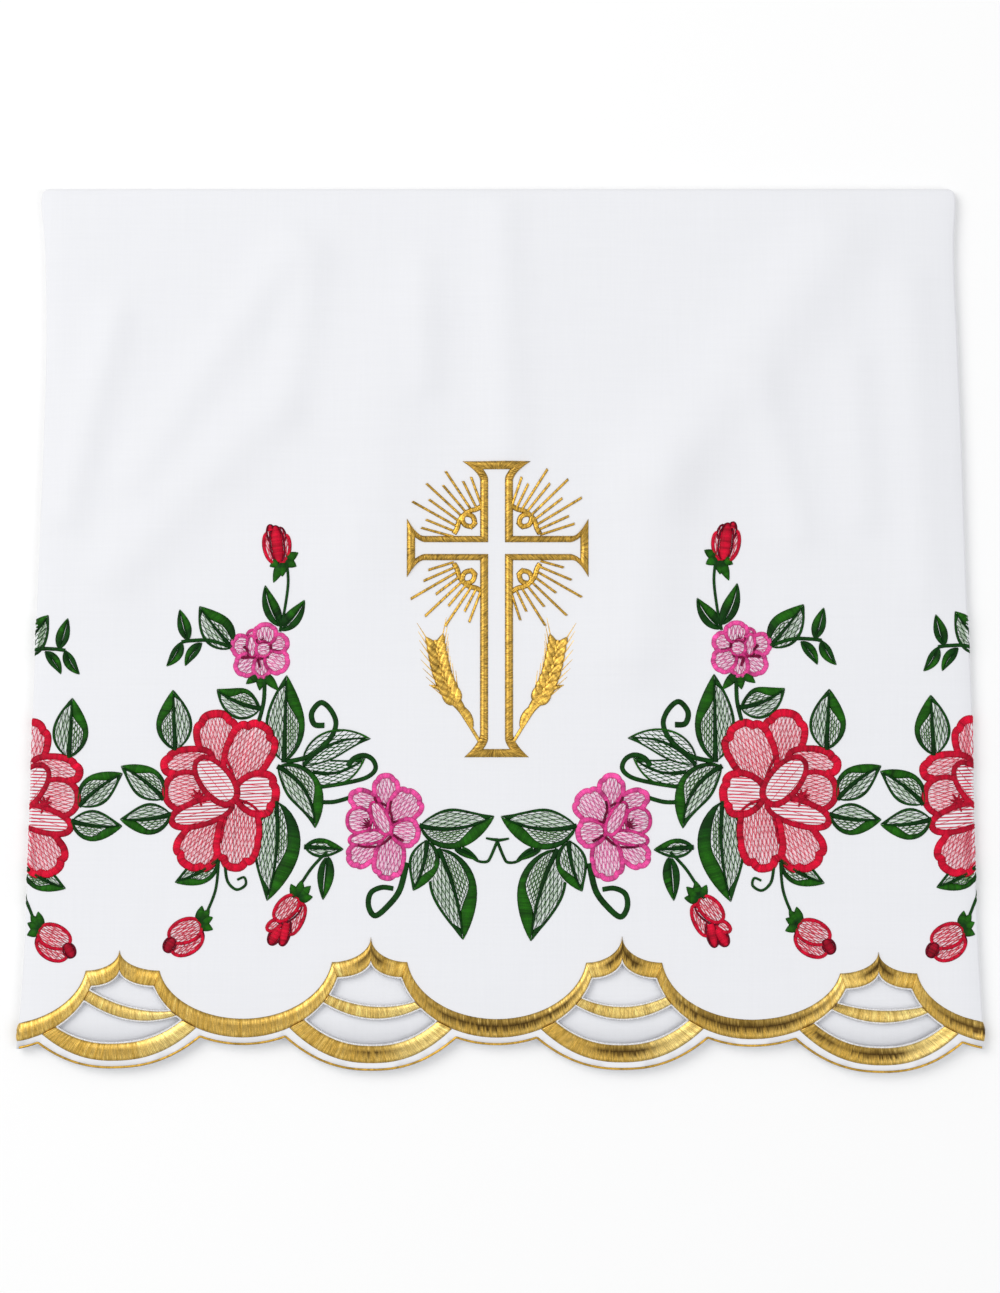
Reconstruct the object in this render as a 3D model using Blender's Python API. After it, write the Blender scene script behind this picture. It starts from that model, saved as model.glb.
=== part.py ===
"""An embroidered linen altar cloth, folded into a flat packet with its worked end on top.

The cloth is drawn as a flat pattern: a rectangle with a scalloped hem on the worked end
and two openings in each of its four arches. The pattern is thickened and then folded: both
sides go behind, and the cloth is folded once over its top. Four layers lie on each other,
the front, the front's side flaps, the back's side flaps and the back.
Metres, +Z up. X runs to the right and Y towards the top fold, as the front is seen.
The origin is under the middle of the packet, on the surface that it lies on.
"""

from collections import namedtuple
from math import acos, copysign, cos, exp, hypot, pi, sin, sqrt

import bmesh
import bpy
from mathutils import Vector
from mathutils.geometry import delaunay_2d_cdt

# Sheet and fold
THICKNESS = 0.0010
LAYER_PITCH = 0.0015
SIDE_BEND = LAYER_PITCH / 2
FRONT_REACH = 1.5 * LAYER_PITCH
FLAP_REACH = 0.5 * LAYER_PITCH
FOLD_AXIS_Z = FRONT_REACH + THICKNESS / 2
TOP_Y = 0.2323
FOLD_AXIS_Y = TOP_Y - FOLD_AXIS_Z
CORNER_RADIUS = 0.005
CORNER_TURN = 0.98
FLAP_EDGE_X = 0.005
FLAP_INSET = 0.0060
BACK_HEM_Y = -0.2110

# Distance of each side fold from the middle, down the packet
SideRow = namedtuple("SideRow", "y left right")
SIDES = [
    SideRow(0.2229, 0.2427, 0.2411),
    SideRow(0.1993, 0.2403, 0.2398),
    SideRow(0.1459, 0.2391, 0.2412),
    SideRow(0.0927, 0.2400, 0.2427),
    SideRow(0.0135, 0.2422, 0.2443),
    SideRow(-0.0389, 0.2436, 0.2462),
    SideRow(-0.1170, 0.2452, 0.2467),
    SideRow(-0.1687, 0.2466, 0.2481),
    SideRow(-0.2047, 0.2487, 0.2497),
    SideRow(-0.2250, 0.2506, 0.2506),
]

# Air between the layers: the packet rises behind its folds and presses flat at its hem
LOFT = 0.0022
LOFT_RUN = 0.007
HEM_FADE = 0.060
HEM_LOFT = 0.35

# Soft ridges left by the folding, from one end to the other
Ridge = namedtuple("Ridge", "x0 y0 x1 y1 width height")
RIDGES = [
    Ridge(0.000, 0.222, 0.004, 0.100, 0.013, 0.0010),
    Ridge(0.175, 0.200, 0.085, 0.080, 0.022, 0.0013),
    Ridge(0.085, 0.080, 0.070, -0.010, 0.022, 0.0012),
    Ridge(-0.110, 0.200, -0.190, 0.080, 0.014, 0.0009),
    Ridge(-0.125, 0.110, -0.200, 0.030, 0.018, 0.0012),
    Ridge(0.150, 0.110, 0.165, 0.050, 0.012, 0.0008),
    Ridge(-0.050, 0.160, -0.075, 0.030, 0.024, 0.0008),
    Ridge(0.215, 0.180, 0.222, 0.020, 0.014, 0.0009),
]

# Worked border: four arches, and the swags that hang between them
# left and right are its shoulders, half its half width at the hem, and bar_left and
# bar_right the parts of that half width at which its bar ends
Arch = namedtuple("Arch", "x peak window shoulder left right half hem bar bar_left bar_right")
ARCHES = [
    Arch(-0.1968, -0.1687, -0.1789, -0.1795, 0.0175, 0.0208, 0.0418, -0.2299, -0.2050, 0.40, 0.67),
    Arch(-0.0668, -0.1620, -0.1741, -0.1751, 0.0202, 0.0189, 0.0441, -0.2312, -0.2045, 0.52, 0.55),
    Arch(0.0632, -0.1615, -0.1733, -0.1754, 0.0187, 0.0207, 0.0441, -0.2308, -0.2047, 0.51, 0.54),
    Arch(0.1958, -0.1697, -0.1800, -0.1809, 0.0200, 0.0199, 0.0431, -0.2323, -0.2066, 0.53, 0.55),
]
Swag = namedtuple("Swag", "x top bottom")
SWAGS = [
    Swag(-0.2610, -0.2077, -0.2172),
    Swag(-0.1328, -0.2042, -0.2141),
    Swag(-0.0016, -0.2044, -0.2142),
    Swag(0.1300, -0.2047, -0.2150),
    Swag(0.2620, -0.2070, -0.2172),
]
HEM_MARGIN = 0.0039
SHOULDER_DROP = 0.0082
SHOULDER_INSET = 0.0030
UPPER_RISE = 0.0045
INNER_RISE = 0.0114
SCALLOP_BAND = 0.0093
SCALLOP_FULLNESS = 2.3
BAR_BAND = 0.0067
BAR_FULLNESS = 2.0
# Parts of an arch's half width at which its scallop meets the swags, and half a bar's end
GOLD_CUSP = 0.955
SCALLOP_END = 0.775
BAR_END = 0.035

# Cross
CROSS_X = -0.0018
CROSS_Y = 0.0403
CrossArm = namedtuple("CrossArm", "turn reach half inner_half flare flare_run")
CROSS_ARMS = [
    CrossArm(0.0, 0.0482, 0.0065, 0.0030, 0.0157, 0.0080),
    CrossArm(0.5 * pi, 0.0459, 0.0087, 0.0043, 0.0182, 0.0100),
    CrossArm(pi, 0.0470, 0.0065, 0.0030, 0.0157, 0.0085),
    CrossArm(1.5 * pi, 0.1096, 0.0087, 0.0043, 0.0171, 0.0120),
]
CROSS_END_BAND = 0.0045
INNER_FLARE_RUN = 0.0050
INNER_FLARE = 0.0024

# Satin stitch
SATIN_GAP = 0.00035
SATIN_HEIGHT = 0.0008
GOLD_END = 0.0010

# Steps along the curves
BEND_STEPS = 5
SWAG_STEPS = 9
PEAK_STEPS = 4
SCALLOP_STEPS = 12
BAR_STEPS = 8
END_STEPS = 3
MIDDLE_STEPS = 4
SIDE_STEPS = 2
FLAP_STEPS = 8
FLARE_STEPS = 3
FLARE_CURVE = 1.6
SHORTEST_STEP = 0.002

# Rows and columns of the sheet's inner corners: the front, the flaps and the back
LOWEST_ROW = -0.205
BESIDE_TOP = 0.005
ABOVE_ROWS = 0.012
BELOW_BACK = 0.020
CREASE_ROWS = 16
CREASE_BACK_ROWS = 10
TOP_COLUMNS = 20
TOP_FLAP_COLUMNS = 4
GRID_LOW = -0.150
GRID_ROWS = 15
GRID_X = 0.225
GRID_COLUMNS = 19
BESIDE_CREASE = (0.004, 0.011)
PAST_CREASE = 0.012
FLAP_GRID_Y = 0.150
FLAP_GRID_ROWS = 4
FLAP_GRID_U = (0.300, 0.370, 0.430)
BACK_GRID_END = 0.040
BACK_GRID_ROWS = 7
BACK_GRID_X = 0.180
BACK_GRID_COLUMNS = 6
BACK_FLAP_U = 0.320
BACK_BESIDE_CREASE = 0.010
CLEARANCE = 0.0015
MERGE = 1e-7

LINEN = ("linen", (0.86, 0.87, 0.89), 0.85, 0.0)
GOLD = ("gold thread", (0.60, 0.36, 0.07), 0.38, 0.6)


def side_reach(y, side):
    """Distance of the side fold from the middle at height y, smooth through the table."""
    column = 1 if side < 0 else 2
    rows = SIDES
    if y >= rows[0].y:
        return rows[0][column]
    if y <= rows[-1].y:
        return rows[-1][column]
    index = next(i for i in range(len(rows) - 1) if rows[i + 1].y <= y)
    before = rows[max(index - 1, 0)]
    upper = rows[index]
    lower = rows[index + 1]
    after = rows[min(index + 2, len(rows) - 1)]
    span = lower.y - upper.y
    t = (y - upper.y) / span
    slope_upper = (lower[column] - before[column]) / (lower.y - before.y) * span
    slope_lower = (after[column] - upper[column]) / (after.y - upper.y) * span
    return (
        upper[column] * (2 * t**3 - 3 * t**2 + 1)
        + slope_upper * (t**3 - 2 * t**2 + t)
        + lower[column] * (3 * t**2 - 2 * t**3)
        + slope_lower * (t**3 - t**2)
    )


def crease(v, side):
    """Where the side fold starts on the pattern, at pattern height v."""
    run = v - FOLD_AXIS_Y
    if run <= 0:
        y = v
    elif run < pi * FRONT_REACH:
        y = FOLD_AXIS_Y + FRONT_REACH * sin(run / FRONT_REACH)
    else:
        y = FOLD_AXIS_Y - (run - pi * FRONT_REACH)
    turn = min(max((y - TOP_Y + CORNER_RADIUS) / CORNER_RADIUS, 0.0), CORNER_TURN)
    rounding = CORNER_RADIUS * (1 - sqrt(1 - turn * turn))
    return side_reach(y, side) - THICKNESS / 2 - SIDE_BEND - rounding


def loft(x, y):
    """Rise of the front above its pressed height."""
    to_side = max(side_reach(y, x) - abs(x), 0.0)
    to_top = max(TOP_Y - y, 0.0)
    hem = min(max((y + TOP_Y) / HEM_FADE, 0.0), 1.0)
    body = LOFT * (HEM_LOFT + (1 - HEM_LOFT) * hem * hem * (3 - 2 * hem))
    edges = (1 - exp(-to_side / LOFT_RUN)) * (1 - exp(-to_top / LOFT_RUN))
    rise = body
    for ridge in RIDGES:
        run = Vector((ridge.x1 - ridge.x0, ridge.y1 - ridge.y0))
        place = Vector((x - ridge.x0, y - ridge.y0))
        along = min(max(place.dot(run) / run.length_squared, 0.0), 1.0)
        away = (place - run * along).length / ridge.width
        rise += ridge.height * exp(-away * away)
    return rise * edges


def folded(u, v, height):
    """Place in the packet of the pattern's point (u, v), height above the sheet's middle."""
    side = copysign(1.0, u)
    start = crease(v, side)
    past = abs(u) - start
    if past <= 0:
        x = abs(u)
        reach = FRONT_REACH + height
    elif past < pi * SIDE_BEND:
        angle = past / SIDE_BEND
        x = start + (SIDE_BEND + height) * sin(angle)
        reach = FRONT_REACH - SIDE_BEND + (SIDE_BEND + height) * cos(angle)
    else:
        x = start - (past - pi * SIDE_BEND)
        reach = FLAP_REACH - height
    run = v - FOLD_AXIS_Y
    if run <= 0:
        y = v
        z = FOLD_AXIS_Z + reach
    elif run < pi * FRONT_REACH:
        angle = run / FRONT_REACH
        y = FOLD_AXIS_Y + reach * sin(angle)
        z = FOLD_AXIS_Z + reach * cos(angle)
    else:
        y = FOLD_AXIS_Y - (run - pi * FRONT_REACH)
        z = FOLD_AXIS_Z - reach
    x *= side
    share = max(z - THICKNESS, 0.0) / (2 * FOLD_AXIS_Z - THICKNESS)
    return Vector((x, y, z + share * loft(x, y)))


def swag_y(x, bottom_x, bottom_y, end_x, end_y, rise, grow=0.0):
    """Height at x of a swag's edge, an ellipse through its bottom and its end."""
    tall = end_y + rise - bottom_y
    wide = abs(end_x - bottom_x) / sqrt(1 - (rise / tall) ** 2)
    across = min(abs(x - bottom_x) / (wide + grow), 1.0)
    return bottom_y + tall - (tall + grow) * sqrt(1 - across * across)


def inner_shoulder(arch, side):
    """Corner of an arch's upper opening, under its shoulder."""
    out = (arch.left if side < 0 else arch.right) - SHOULDER_INSET
    return arch.x + side * out, arch.shoulder - SHOULDER_DROP


def swag_beside(index, side):
    return SWAGS[index if side < 0 else index + 1]


def lower_edge(index, side, x, grow=0.0):
    """Height at x of the swag's lower gold edge beside an arch."""
    swag = swag_beside(index, side)
    end_x, end_y = inner_shoulder(ARCHES[index], side)
    return swag_y(x, swag.x, swag.bottom, end_x, end_y, INNER_RISE, grow)


def spread(first, last, steps):
    return [first + (last - first) * i / steps for i in range(steps + 1)]


def upper_half(index, side, steps):
    """Upper gold edge from a shoulder's swag bottom to that shoulder."""
    arch = ARCHES[index]
    swag = swag_beside(index, side)
    end_x = arch.x + side * (arch.left if side < 0 else arch.right)
    tall = arch.shoulder + UPPER_RISE - swag.top
    last = acos(UPPER_RISE / tall)
    wide = (end_x - swag.x) / sin(last)
    turns = spread(0.0, last, steps)
    return [(swag.x + wide * sin(t), swag.top + tall * (1 - cos(t))) for t in turns]


def peak_curve(foot, tip, steps):
    """Hollow curve from a shoulder to a peak, without its first point."""
    turns = spread(0.0, pi / 2, steps)[1:]
    return [
        (foot[0] + (tip[0] - foot[0]) * sin(t), tip[1] - (tip[1] - foot[1]) * cos(t))
        for t in turns
    ]


def sagging(left, right, bottom_y, steps, fullness):
    """Curve that sags between two points, with its lowest height at bottom_y."""
    points = []
    sag = (left[1] + right[1]) / 2 - bottom_y
    for t in spread(0.0, 1.0, steps):
        line_y = left[1] + (right[1] - left[1]) * t
        points.append(
            (left[0] + (right[0] - left[0]) * t, line_y - sag * (1 - abs(2 * t - 1) ** fullness))
        )
    return points


def end_on_swag(index, side, share, grow=0.0):
    """Point of a swag's lower edge at a share of the arch's half width."""
    x = ARCHES[index].x + side * ARCHES[index].half * share
    return x, lower_edge(index, side, x, grow)


def swag_side(index, side, from_x, to_x, steps):
    """Lower swag edge between two x, without its ends."""
    return [(x, lower_edge(index, side, x)) for x in spread(from_x, to_x, steps)[1:-1]]


def upper_window(index):
    """Opening between an arch's peak and its bar."""
    arch = ARCHES[index]
    left = inner_shoulder(arch, -1)
    right = inner_shoulder(arch, 1)
    tip = (arch.x, arch.window)
    bar_left = end_on_swag(index, -1, arch.bar_left - BAR_END)
    bar_right = end_on_swag(index, 1, arch.bar_right - BAR_END)
    outline = [left] + peak_curve(left, tip, PEAK_STEPS)
    outline += peak_curve(right, tip, PEAK_STEPS)[-2::-1] + [right]
    outline += swag_side(index, 1, right[0], bar_right[0], SIDE_STEPS)
    outline += sagging(bar_left, bar_right, arch.bar + BAR_BAND, BAR_STEPS, BAR_FULLNESS)[::-1]
    outline += swag_side(index, -1, bar_left[0], left[0], SIDE_STEPS)
    return outline[::-1]


def lower_window(index):
    """Opening between an arch's bar and its scallop."""
    arch = ARCHES[index]
    bar_left = end_on_swag(index, -1, arch.bar_left + BAR_END)
    bar_right = end_on_swag(index, 1, arch.bar_right + BAR_END)
    left = end_on_swag(index, -1, SCALLOP_END)
    right = end_on_swag(index, 1, SCALLOP_END)
    bottom = arch.hem + HEM_MARGIN + SCALLOP_BAND
    outline = sagging(bar_left, bar_right, arch.bar, BAR_STEPS, BAR_FULLNESS)
    outline += swag_side(index, 1, bar_right[0], right[0], SIDE_STEPS)
    outline += sagging(left, right, bottom, SCALLOP_STEPS, SCALLOP_FULLNESS)[::-1]
    outline += swag_side(index, -1, left[0], bar_left[0], SIDE_STEPS)
    return outline[::-1]


def lower_line(cusp, rise, grow, left_x, right_x):
    """The border's lower line from left_x to right_x: scallops at the arches, swags between.

    cusp is the part of an arch's half width at which they meet, rise the height above the
    hem and grow the distance below the gold swags.
    """
    line = []
    start_x = left_x
    for index, arch in enumerate(ARCHES):
        left = end_on_swag(index, -1, cusp, grow)
        right = end_on_swag(index, 1, cusp, grow)
        if index == 0:
            first = spread(start_x, left[0], END_STEPS)
            line += [(x, lower_edge(0, -1, x, grow)) for x in first]
        else:
            middle = SWAGS[index].x
            falling = spread(start_x, middle, MIDDLE_STEPS)[1:]
            rising = spread(middle, left[0], MIDDLE_STEPS)[1:]
            line += [(x, lower_edge(index - 1, 1, x, grow)) for x in falling]
            line += [(x, lower_edge(index, -1, x, grow)) for x in rising]
        line += sagging(left, right, arch.hem + rise, SCALLOP_STEPS, SCALLOP_FULLNESS)[1:]
        start_x = right[0]
    last = len(ARCHES) - 1
    end = spread(start_x, right_x, END_STEPS)[1:]
    line += [(x, lower_edge(last, 1, x, grow)) for x in end]
    return line


def upper_line(left_x, right_x):
    """The border's upper gold line from left to right."""
    line = []
    for index, arch in enumerate(ARCHES):
        rising = upper_half(index, -1, SWAG_STEPS)
        falling = upper_half(index, 1, SWAG_STEPS)[::-1]
        tip = (arch.x, arch.peak)
        if index == 0:
            rising = [p for p in rising if p[0] > left_x + SHORTEST_STEP]
            swag = SWAGS[0]
            end_x = arch.x - arch.left
            y = swag_y(left_x, swag.x, swag.top, end_x, arch.shoulder, UPPER_RISE)
            rising = [(left_x, y)] + rising
        else:
            rising = rising[1:]
        line += rising
        line += peak_curve(rising[-1], tip, PEAK_STEPS)
        line += peak_curve(falling[0], tip, PEAK_STEPS)[-2::-1]
        line += falling
    swag = SWAGS[-1]
    arch = ARCHES[-1]
    y = swag_y(right_x, swag.x, swag.top, arch.x + arch.right, arch.shoulder, UPPER_RISE)
    return [p for p in line if p[0] < right_x - SHORTEST_STEP] + [(right_x, y)]


def flap_edge_u(v, side):
    """Pattern place of the flap's free edge."""
    start = crease(v, side)
    return side * (start + pi * SIDE_BEND + start - FLAP_EDGE_X)


BACK_V = FOLD_AXIS_Y + pi * FRONT_REACH
BACK_HEM_V = BACK_V + FOLD_AXIS_Y - BACK_HEM_Y
SIDE_BEND_RUN = pi * SIDE_BEND


def crease_columns(v, side):
    """Pattern places across one side fold at height v, outwards."""
    start = crease(v, side)
    return [side * u for u in spread(start, start + SIDE_BEND_RUN, BEND_STEPS)]


def fold_x(side):
    """Where the worked border reaches a side fold."""
    return side * crease(SWAGS[0 if side < 0 else -1].bottom, side)


def hem_at_fold(side):
    index = 0 if side < 0 else len(ARCHES) - 1
    return lower_edge(index, side, fold_x(side), HEM_MARGIN)


def flap_hem(hem, side):
    """Hem of the front's side flap, a little inside the front's own, from fold to free edge."""
    points = []
    for x, y in hem[1:-1:2]:
        v = y + FLAP_INSET
        start = crease(v, side)
        if FLAP_EDGE_X + SHORTEST_STEP < side * x < start - FLAP_INSET:
            points.append((side * (2 * start + SIDE_BEND_RUN) - x, v))
    return points[::-side]


def pattern_outline():
    """Outline of the whole flat pattern, anticlockwise from the left end of the front hem."""
    left_hem, right_hem = hem_at_fold(-1), hem_at_fold(1)
    hem = lower_line(1.0, 0.0, HEM_MARGIN, fold_x(-1), fold_x(1))
    outline = hem[1:-1]
    outline += [(u, right_hem) for u in crease_columns(right_hem, 1)]
    outline += flap_hem(hem, 1)
    rows = spread(SWAGS[2].bottom, FOLD_AXIS_Y, FLAP_STEPS)
    rows += spread(FOLD_AXIS_Y, BACK_V, BEND_STEPS)[1:-1]
    rows += spread(BACK_V, BACK_HEM_V, FLAP_STEPS)
    outline += [(flap_edge_u(v, 1), v) for v in rows]
    outline += [(u, BACK_HEM_V) for u in reversed(crease_columns(BACK_HEM_V, 1))]
    outline += [(u, BACK_HEM_V) for u in crease_columns(BACK_HEM_V, -1)]
    outline += [(flap_edge_u(v, -1), v) for v in reversed(rows)]
    outline += flap_hem(hem, -1)[::-1]
    outline += [(u, left_hem) for u in reversed(crease_columns(left_hem, -1))]
    return outline


def inside(point, outline):
    """Whether a point lies inside a closed outline."""
    within = False
    for (x0, y0), (x1, y1) in zip(outline, outline[1:] + outline[:1]):
        if (y0 > point[1]) != (y1 > point[1]):
            if point[0] < x0 + (point[1] - y0) / (y1 - y0) * (x1 - x0):
                within = not within
    return within


def clear_of(point, outlines, gap):
    """Whether a point keeps a gap to every corner of the outlines."""
    return all(hypot(point[0] - x, point[1] - y) > gap for o in outlines for x, y in o)


def fold_lines():
    """Lines that the sheet bends along: down its side folds, and across its top fold."""
    rows = spread(LOWEST_ROW, FOLD_AXIS_Y - ABOVE_ROWS, CREASE_ROWS)
    bend_rows = spread(FOLD_AXIS_Y, BACK_V, BEND_STEPS)
    rows += [FOLD_AXIS_Y - BESIDE_TOP] + bend_rows + [BACK_V + BESIDE_TOP]
    rows += spread(BACK_V + BELOW_BACK, BACK_HEM_V, CREASE_BACK_ROWS)
    lines = []
    for side in (-1, 1):
        heights = [hem_at_fold(side)] + rows
        grid = [crease_columns(v, side) for v in heights]
        for column in range(BEND_STEPS + 1):
            lines.append([(us[column], v) for us, v in zip(grid, heights)])
    for v in bend_rows:
        left = crease_columns(v, -1)
        right = crease_columns(v, 1)
        across = spread(flap_edge_u(v, -1), left[-1], TOP_FLAP_COLUMNS)[:-1] + left[::-1]
        across += spread(left[0], right[0], TOP_COLUMNS)[1:-1] + right
        across += spread(right[-1], flap_edge_u(v, 1), TOP_FLAP_COLUMNS)[1:]
        lines.append([(u, v) for u in across])
    return lines


def inner_points(outline, windows, bands):
    """Points inside the pattern, in a grid that is finer on the front."""
    points = []
    for v in spread(GRID_LOW, FOLD_AXIS_Y - BESIDE_TOP, GRID_ROWS):
        points += [(u, v) for u in spread(-GRID_X, GRID_X, GRID_COLUMNS)]
        for side in (-1, 1):
            start = crease(v, side)
            points += [(side * (start - away), v) for away in BESIDE_CREASE]
            points.append((side * (start + SIDE_BEND_RUN + PAST_CREASE), v))
    for side in (-1, 1):
        for v in spread(-FLAP_GRID_Y, FLAP_GRID_Y, FLAP_GRID_ROWS):
            points += [(side * u, v) for u in FLAP_GRID_U]
    for v in spread(BACK_V + BELOW_BACK, BACK_HEM_V - BACK_GRID_END, BACK_GRID_ROWS):
        points += [(u, v) for u in spread(-BACK_GRID_X, BACK_GRID_X, BACK_GRID_COLUMNS)]
        for side in (-1, 1):
            start = crease(v, side)
            points.append((side * (start - BACK_BESIDE_CREASE), v))
            points.append((side * (start + SIDE_BEND_RUN + PAST_CREASE), v))
            points.append((side * BACK_FLAP_U, v))
    closed = [outline] + windows + bands
    kept = [p for p in points if inside(p, outline) and clear_of(p, closed, CLEARANCE)]
    return [p for p in kept if not any(inside(p, w) for w in windows)]


def flat_sheet(outline, windows, bands, lines, points, bottom, top):
    """A flat sheet with the given outline and openings, thick from bottom to top.

    The lines that it bends along, and the outlines of the bands that lie on it, are edges.
    """
    corners = []
    faces = []
    for closed in [outline] + windows + bands:
        faces.append(list(range(len(corners), len(corners) + len(closed))))
        corners += [Vector(p) for p in closed]
    edges = []
    for line in lines:
        first = len(corners)
        corners += [Vector(p) for p in line]
        edges += [(i, i + 1) for i in range(first, len(corners) - 1)]
    corners += [Vector(p) for p in points]
    placed, _, triangles, _, _, owners = delaunay_2d_cdt(corners, edges, faces, 1, MERGE)
    mesh = bmesh.new()
    verts = [mesh.verts.new((p.x, p.y, bottom)) for p in placed]
    for triangle, owner in zip(triangles, owners):
        if not any(1 <= i <= len(windows) for i in owner):
            mesh.faces.new([verts[i] for i in triangle])
    for vert in [v for v in mesh.verts if not v.link_faces]:
        mesh.verts.remove(vert)
    raised = bmesh.ops.extrude_face_region(mesh, geom=mesh.faces[:])["geom"]
    lifted = [v for v in raised if isinstance(v, bmesh.types.BMVert)]
    bmesh.ops.translate(mesh, vec=(0, 0, top - bottom), verts=lifted)
    return mesh


def material(name, colour, roughness, metallic):
    made = bpy.data.materials.new(name)
    made.use_nodes = True
    shader = made.node_tree.nodes["Principled BSDF"]
    shader.inputs["Base Color"].default_value = (*colour, 1)
    shader.inputs["Roughness"].default_value = roughness
    shader.inputs["Metallic"].default_value = metallic
    made.diffuse_color = (*colour, 1)
    return made


def fold_up(name, mesh, finish):
    """Fold a flat sheet's points into the packet and make it an object."""
    for vert in mesh.verts:
        vert.co = folded(*vert.co)
    bmesh.ops.recalc_face_normals(mesh, faces=mesh.faces[:])
    data = bpy.data.meshes.new(name)
    mesh.to_mesh(data)
    mesh.free()
    data.materials.append(finish)
    data.shade_smooth()
    data.set_sharp_from_angle(angle=pi / 4)
    made = bpy.data.objects.new(name, data)
    bpy.context.collection.objects.link(made)
    return made


def cross_outline(inner):
    """Outline of the cross, anticlockwise: its outer edge, or the inner edge of its band."""
    outline = []
    halves = [arm.inner_half if inner else arm.half for arm in CROSS_ARMS]
    for index, arm in enumerate(CROSS_ARMS):
        half = halves[index]
        reach = arm.reach - (CROSS_END_BAND if inner else 0.0)
        run = INNER_FLARE_RUN if inner else arm.flare_run
        flare = INNER_FLARE if inner else arm.flare - arm.half
        side = [(halves[index - 1], -half)]
        for t in spread(0.0, 1.0, FLARE_STEPS):
            side.append((reach - run + run * t, -half - flare * t**FLARE_CURVE))
        arm_points = side[1:] + [(s, -t) for s, t in reversed(side[1:])]
        for s, t in [side[0]] + arm_points:
            outline.append(
                (
                    CROSS_X + s * cos(arm.turn) - t * sin(arm.turn),
                    CROSS_Y + s * sin(arm.turn) + t * cos(arm.turn),
                )
            )
    return outline


for old in list(bpy.data.objects):
    bpy.data.objects.remove(old)

windows = [make(index) for index in range(len(ARCHES)) for make in (upper_window, lower_window)]
outline = pattern_outline()
gold_ends = fold_x(-1) + GOLD_END, fold_x(1) - GOLD_END
gold_upper = upper_line(*gold_ends)
gold_lower = lower_line(GOLD_CUSP, HEM_MARGIN, 0.0, *gold_ends)
border_outline = gold_lower + gold_upper[::-1]
cross_outer = cross_outline(False)
cross_inner = cross_outline(True)

bands = [border_outline, cross_outer, cross_inner]
inner = inner_points(outline, windows, bands)
half = THICKNESS / 2
cloth = flat_sheet(outline, windows, bands, fold_lines(), inner, -half, half)
fold_up("cloth", cloth, material(*LINEN))

satin_from = half + SATIN_GAP
satin_to = satin_from + SATIN_HEIGHT
gold = material(*GOLD)
under = [p for p in inner if inside(p, border_outline)]
border = flat_sheet(border_outline, windows, [], [], under, satin_from, satin_to)
fold_up("border_satin", border, gold)
under = [p for p in inner if inside(p, cross_outer) and not inside(p, cross_inner)]
cross = flat_sheet(cross_outer, [cross_inner], [], [], under, satin_from, satin_to)
fold_up("cross_satin", cross, gold)
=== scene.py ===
"""Looks of the folded altar cloth: linen, gold satin border and cross, and embroidered roses.

All stitches are drawn on the flat cloth and then folded with the same map as the solids.
Metres, +Z up. X runs to the right and Y towards the top fold.
"""

import random
from bisect import bisect_right
from collections import namedtuple
from functools import partial
from math import acos, atan2, ceil, copysign, cos, exp, floor, hypot, pi, sin, sqrt

import bmesh
import bpy
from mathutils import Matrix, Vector
from mathutils.geometry import delaunay_2d_cdt


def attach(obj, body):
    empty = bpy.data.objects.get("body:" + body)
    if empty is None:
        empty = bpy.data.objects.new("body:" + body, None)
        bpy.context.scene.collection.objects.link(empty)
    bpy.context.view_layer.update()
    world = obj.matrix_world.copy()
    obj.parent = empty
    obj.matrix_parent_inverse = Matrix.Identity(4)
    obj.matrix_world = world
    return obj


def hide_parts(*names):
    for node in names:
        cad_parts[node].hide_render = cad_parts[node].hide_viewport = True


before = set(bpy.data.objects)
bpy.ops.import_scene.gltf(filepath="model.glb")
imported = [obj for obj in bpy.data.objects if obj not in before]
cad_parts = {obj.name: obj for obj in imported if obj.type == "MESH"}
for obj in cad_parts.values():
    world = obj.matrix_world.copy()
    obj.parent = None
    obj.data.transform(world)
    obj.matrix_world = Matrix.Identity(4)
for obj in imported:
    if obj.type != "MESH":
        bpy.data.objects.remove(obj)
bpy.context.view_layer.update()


def table(kind, rows):
    """Rows of a table under their named columns."""
    return [kind(*row) for row in rows]


# Camera and light
CAMERA_DISTANCE = 1.66
CAMERA_TILT = 5 * pi / 180
AIM_Y = -0.0107
FOCAL_PIXELS = 3167.3
IMAGE_WIDTH = 1000
SENSOR = 36.0
WORLD_STRENGTH = 0.625
KEY_POWER = 38.0
FILL_POWER = 17.5

# The opened cloth, its weave, and the steps of the threads
WEAVE_PITCH = 0.0007
SLUB_SCALES = ((30, 900, 30), (900, 30, 30))
THREAD_STEP = 0.0060
THREAD_STEP_AT_FOLD = 0.0008
CELL = 0.0020

# Sheet and fold
THICKNESS = 0.0010
LAYER_PITCH = 0.0015
SIDE_BEND = LAYER_PITCH / 2
SIDE_BEND_RUN = pi * SIDE_BEND
FRONT_REACH = 1.5 * LAYER_PITCH
FLAP_REACH = 0.5 * LAYER_PITCH
FOLD_AXIS_Z = FRONT_REACH + THICKNESS / 2
TOP_Y = 0.2323
FOLD_AXIS_Y = TOP_Y - FOLD_AXIS_Z
CORNER_RADIUS = 0.005
CORNER_TURN = 0.98
FLAP_EDGE_X = 0.005
FLAP_INSET = 0.0060
BACK_HEM_Y = -0.2110

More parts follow.
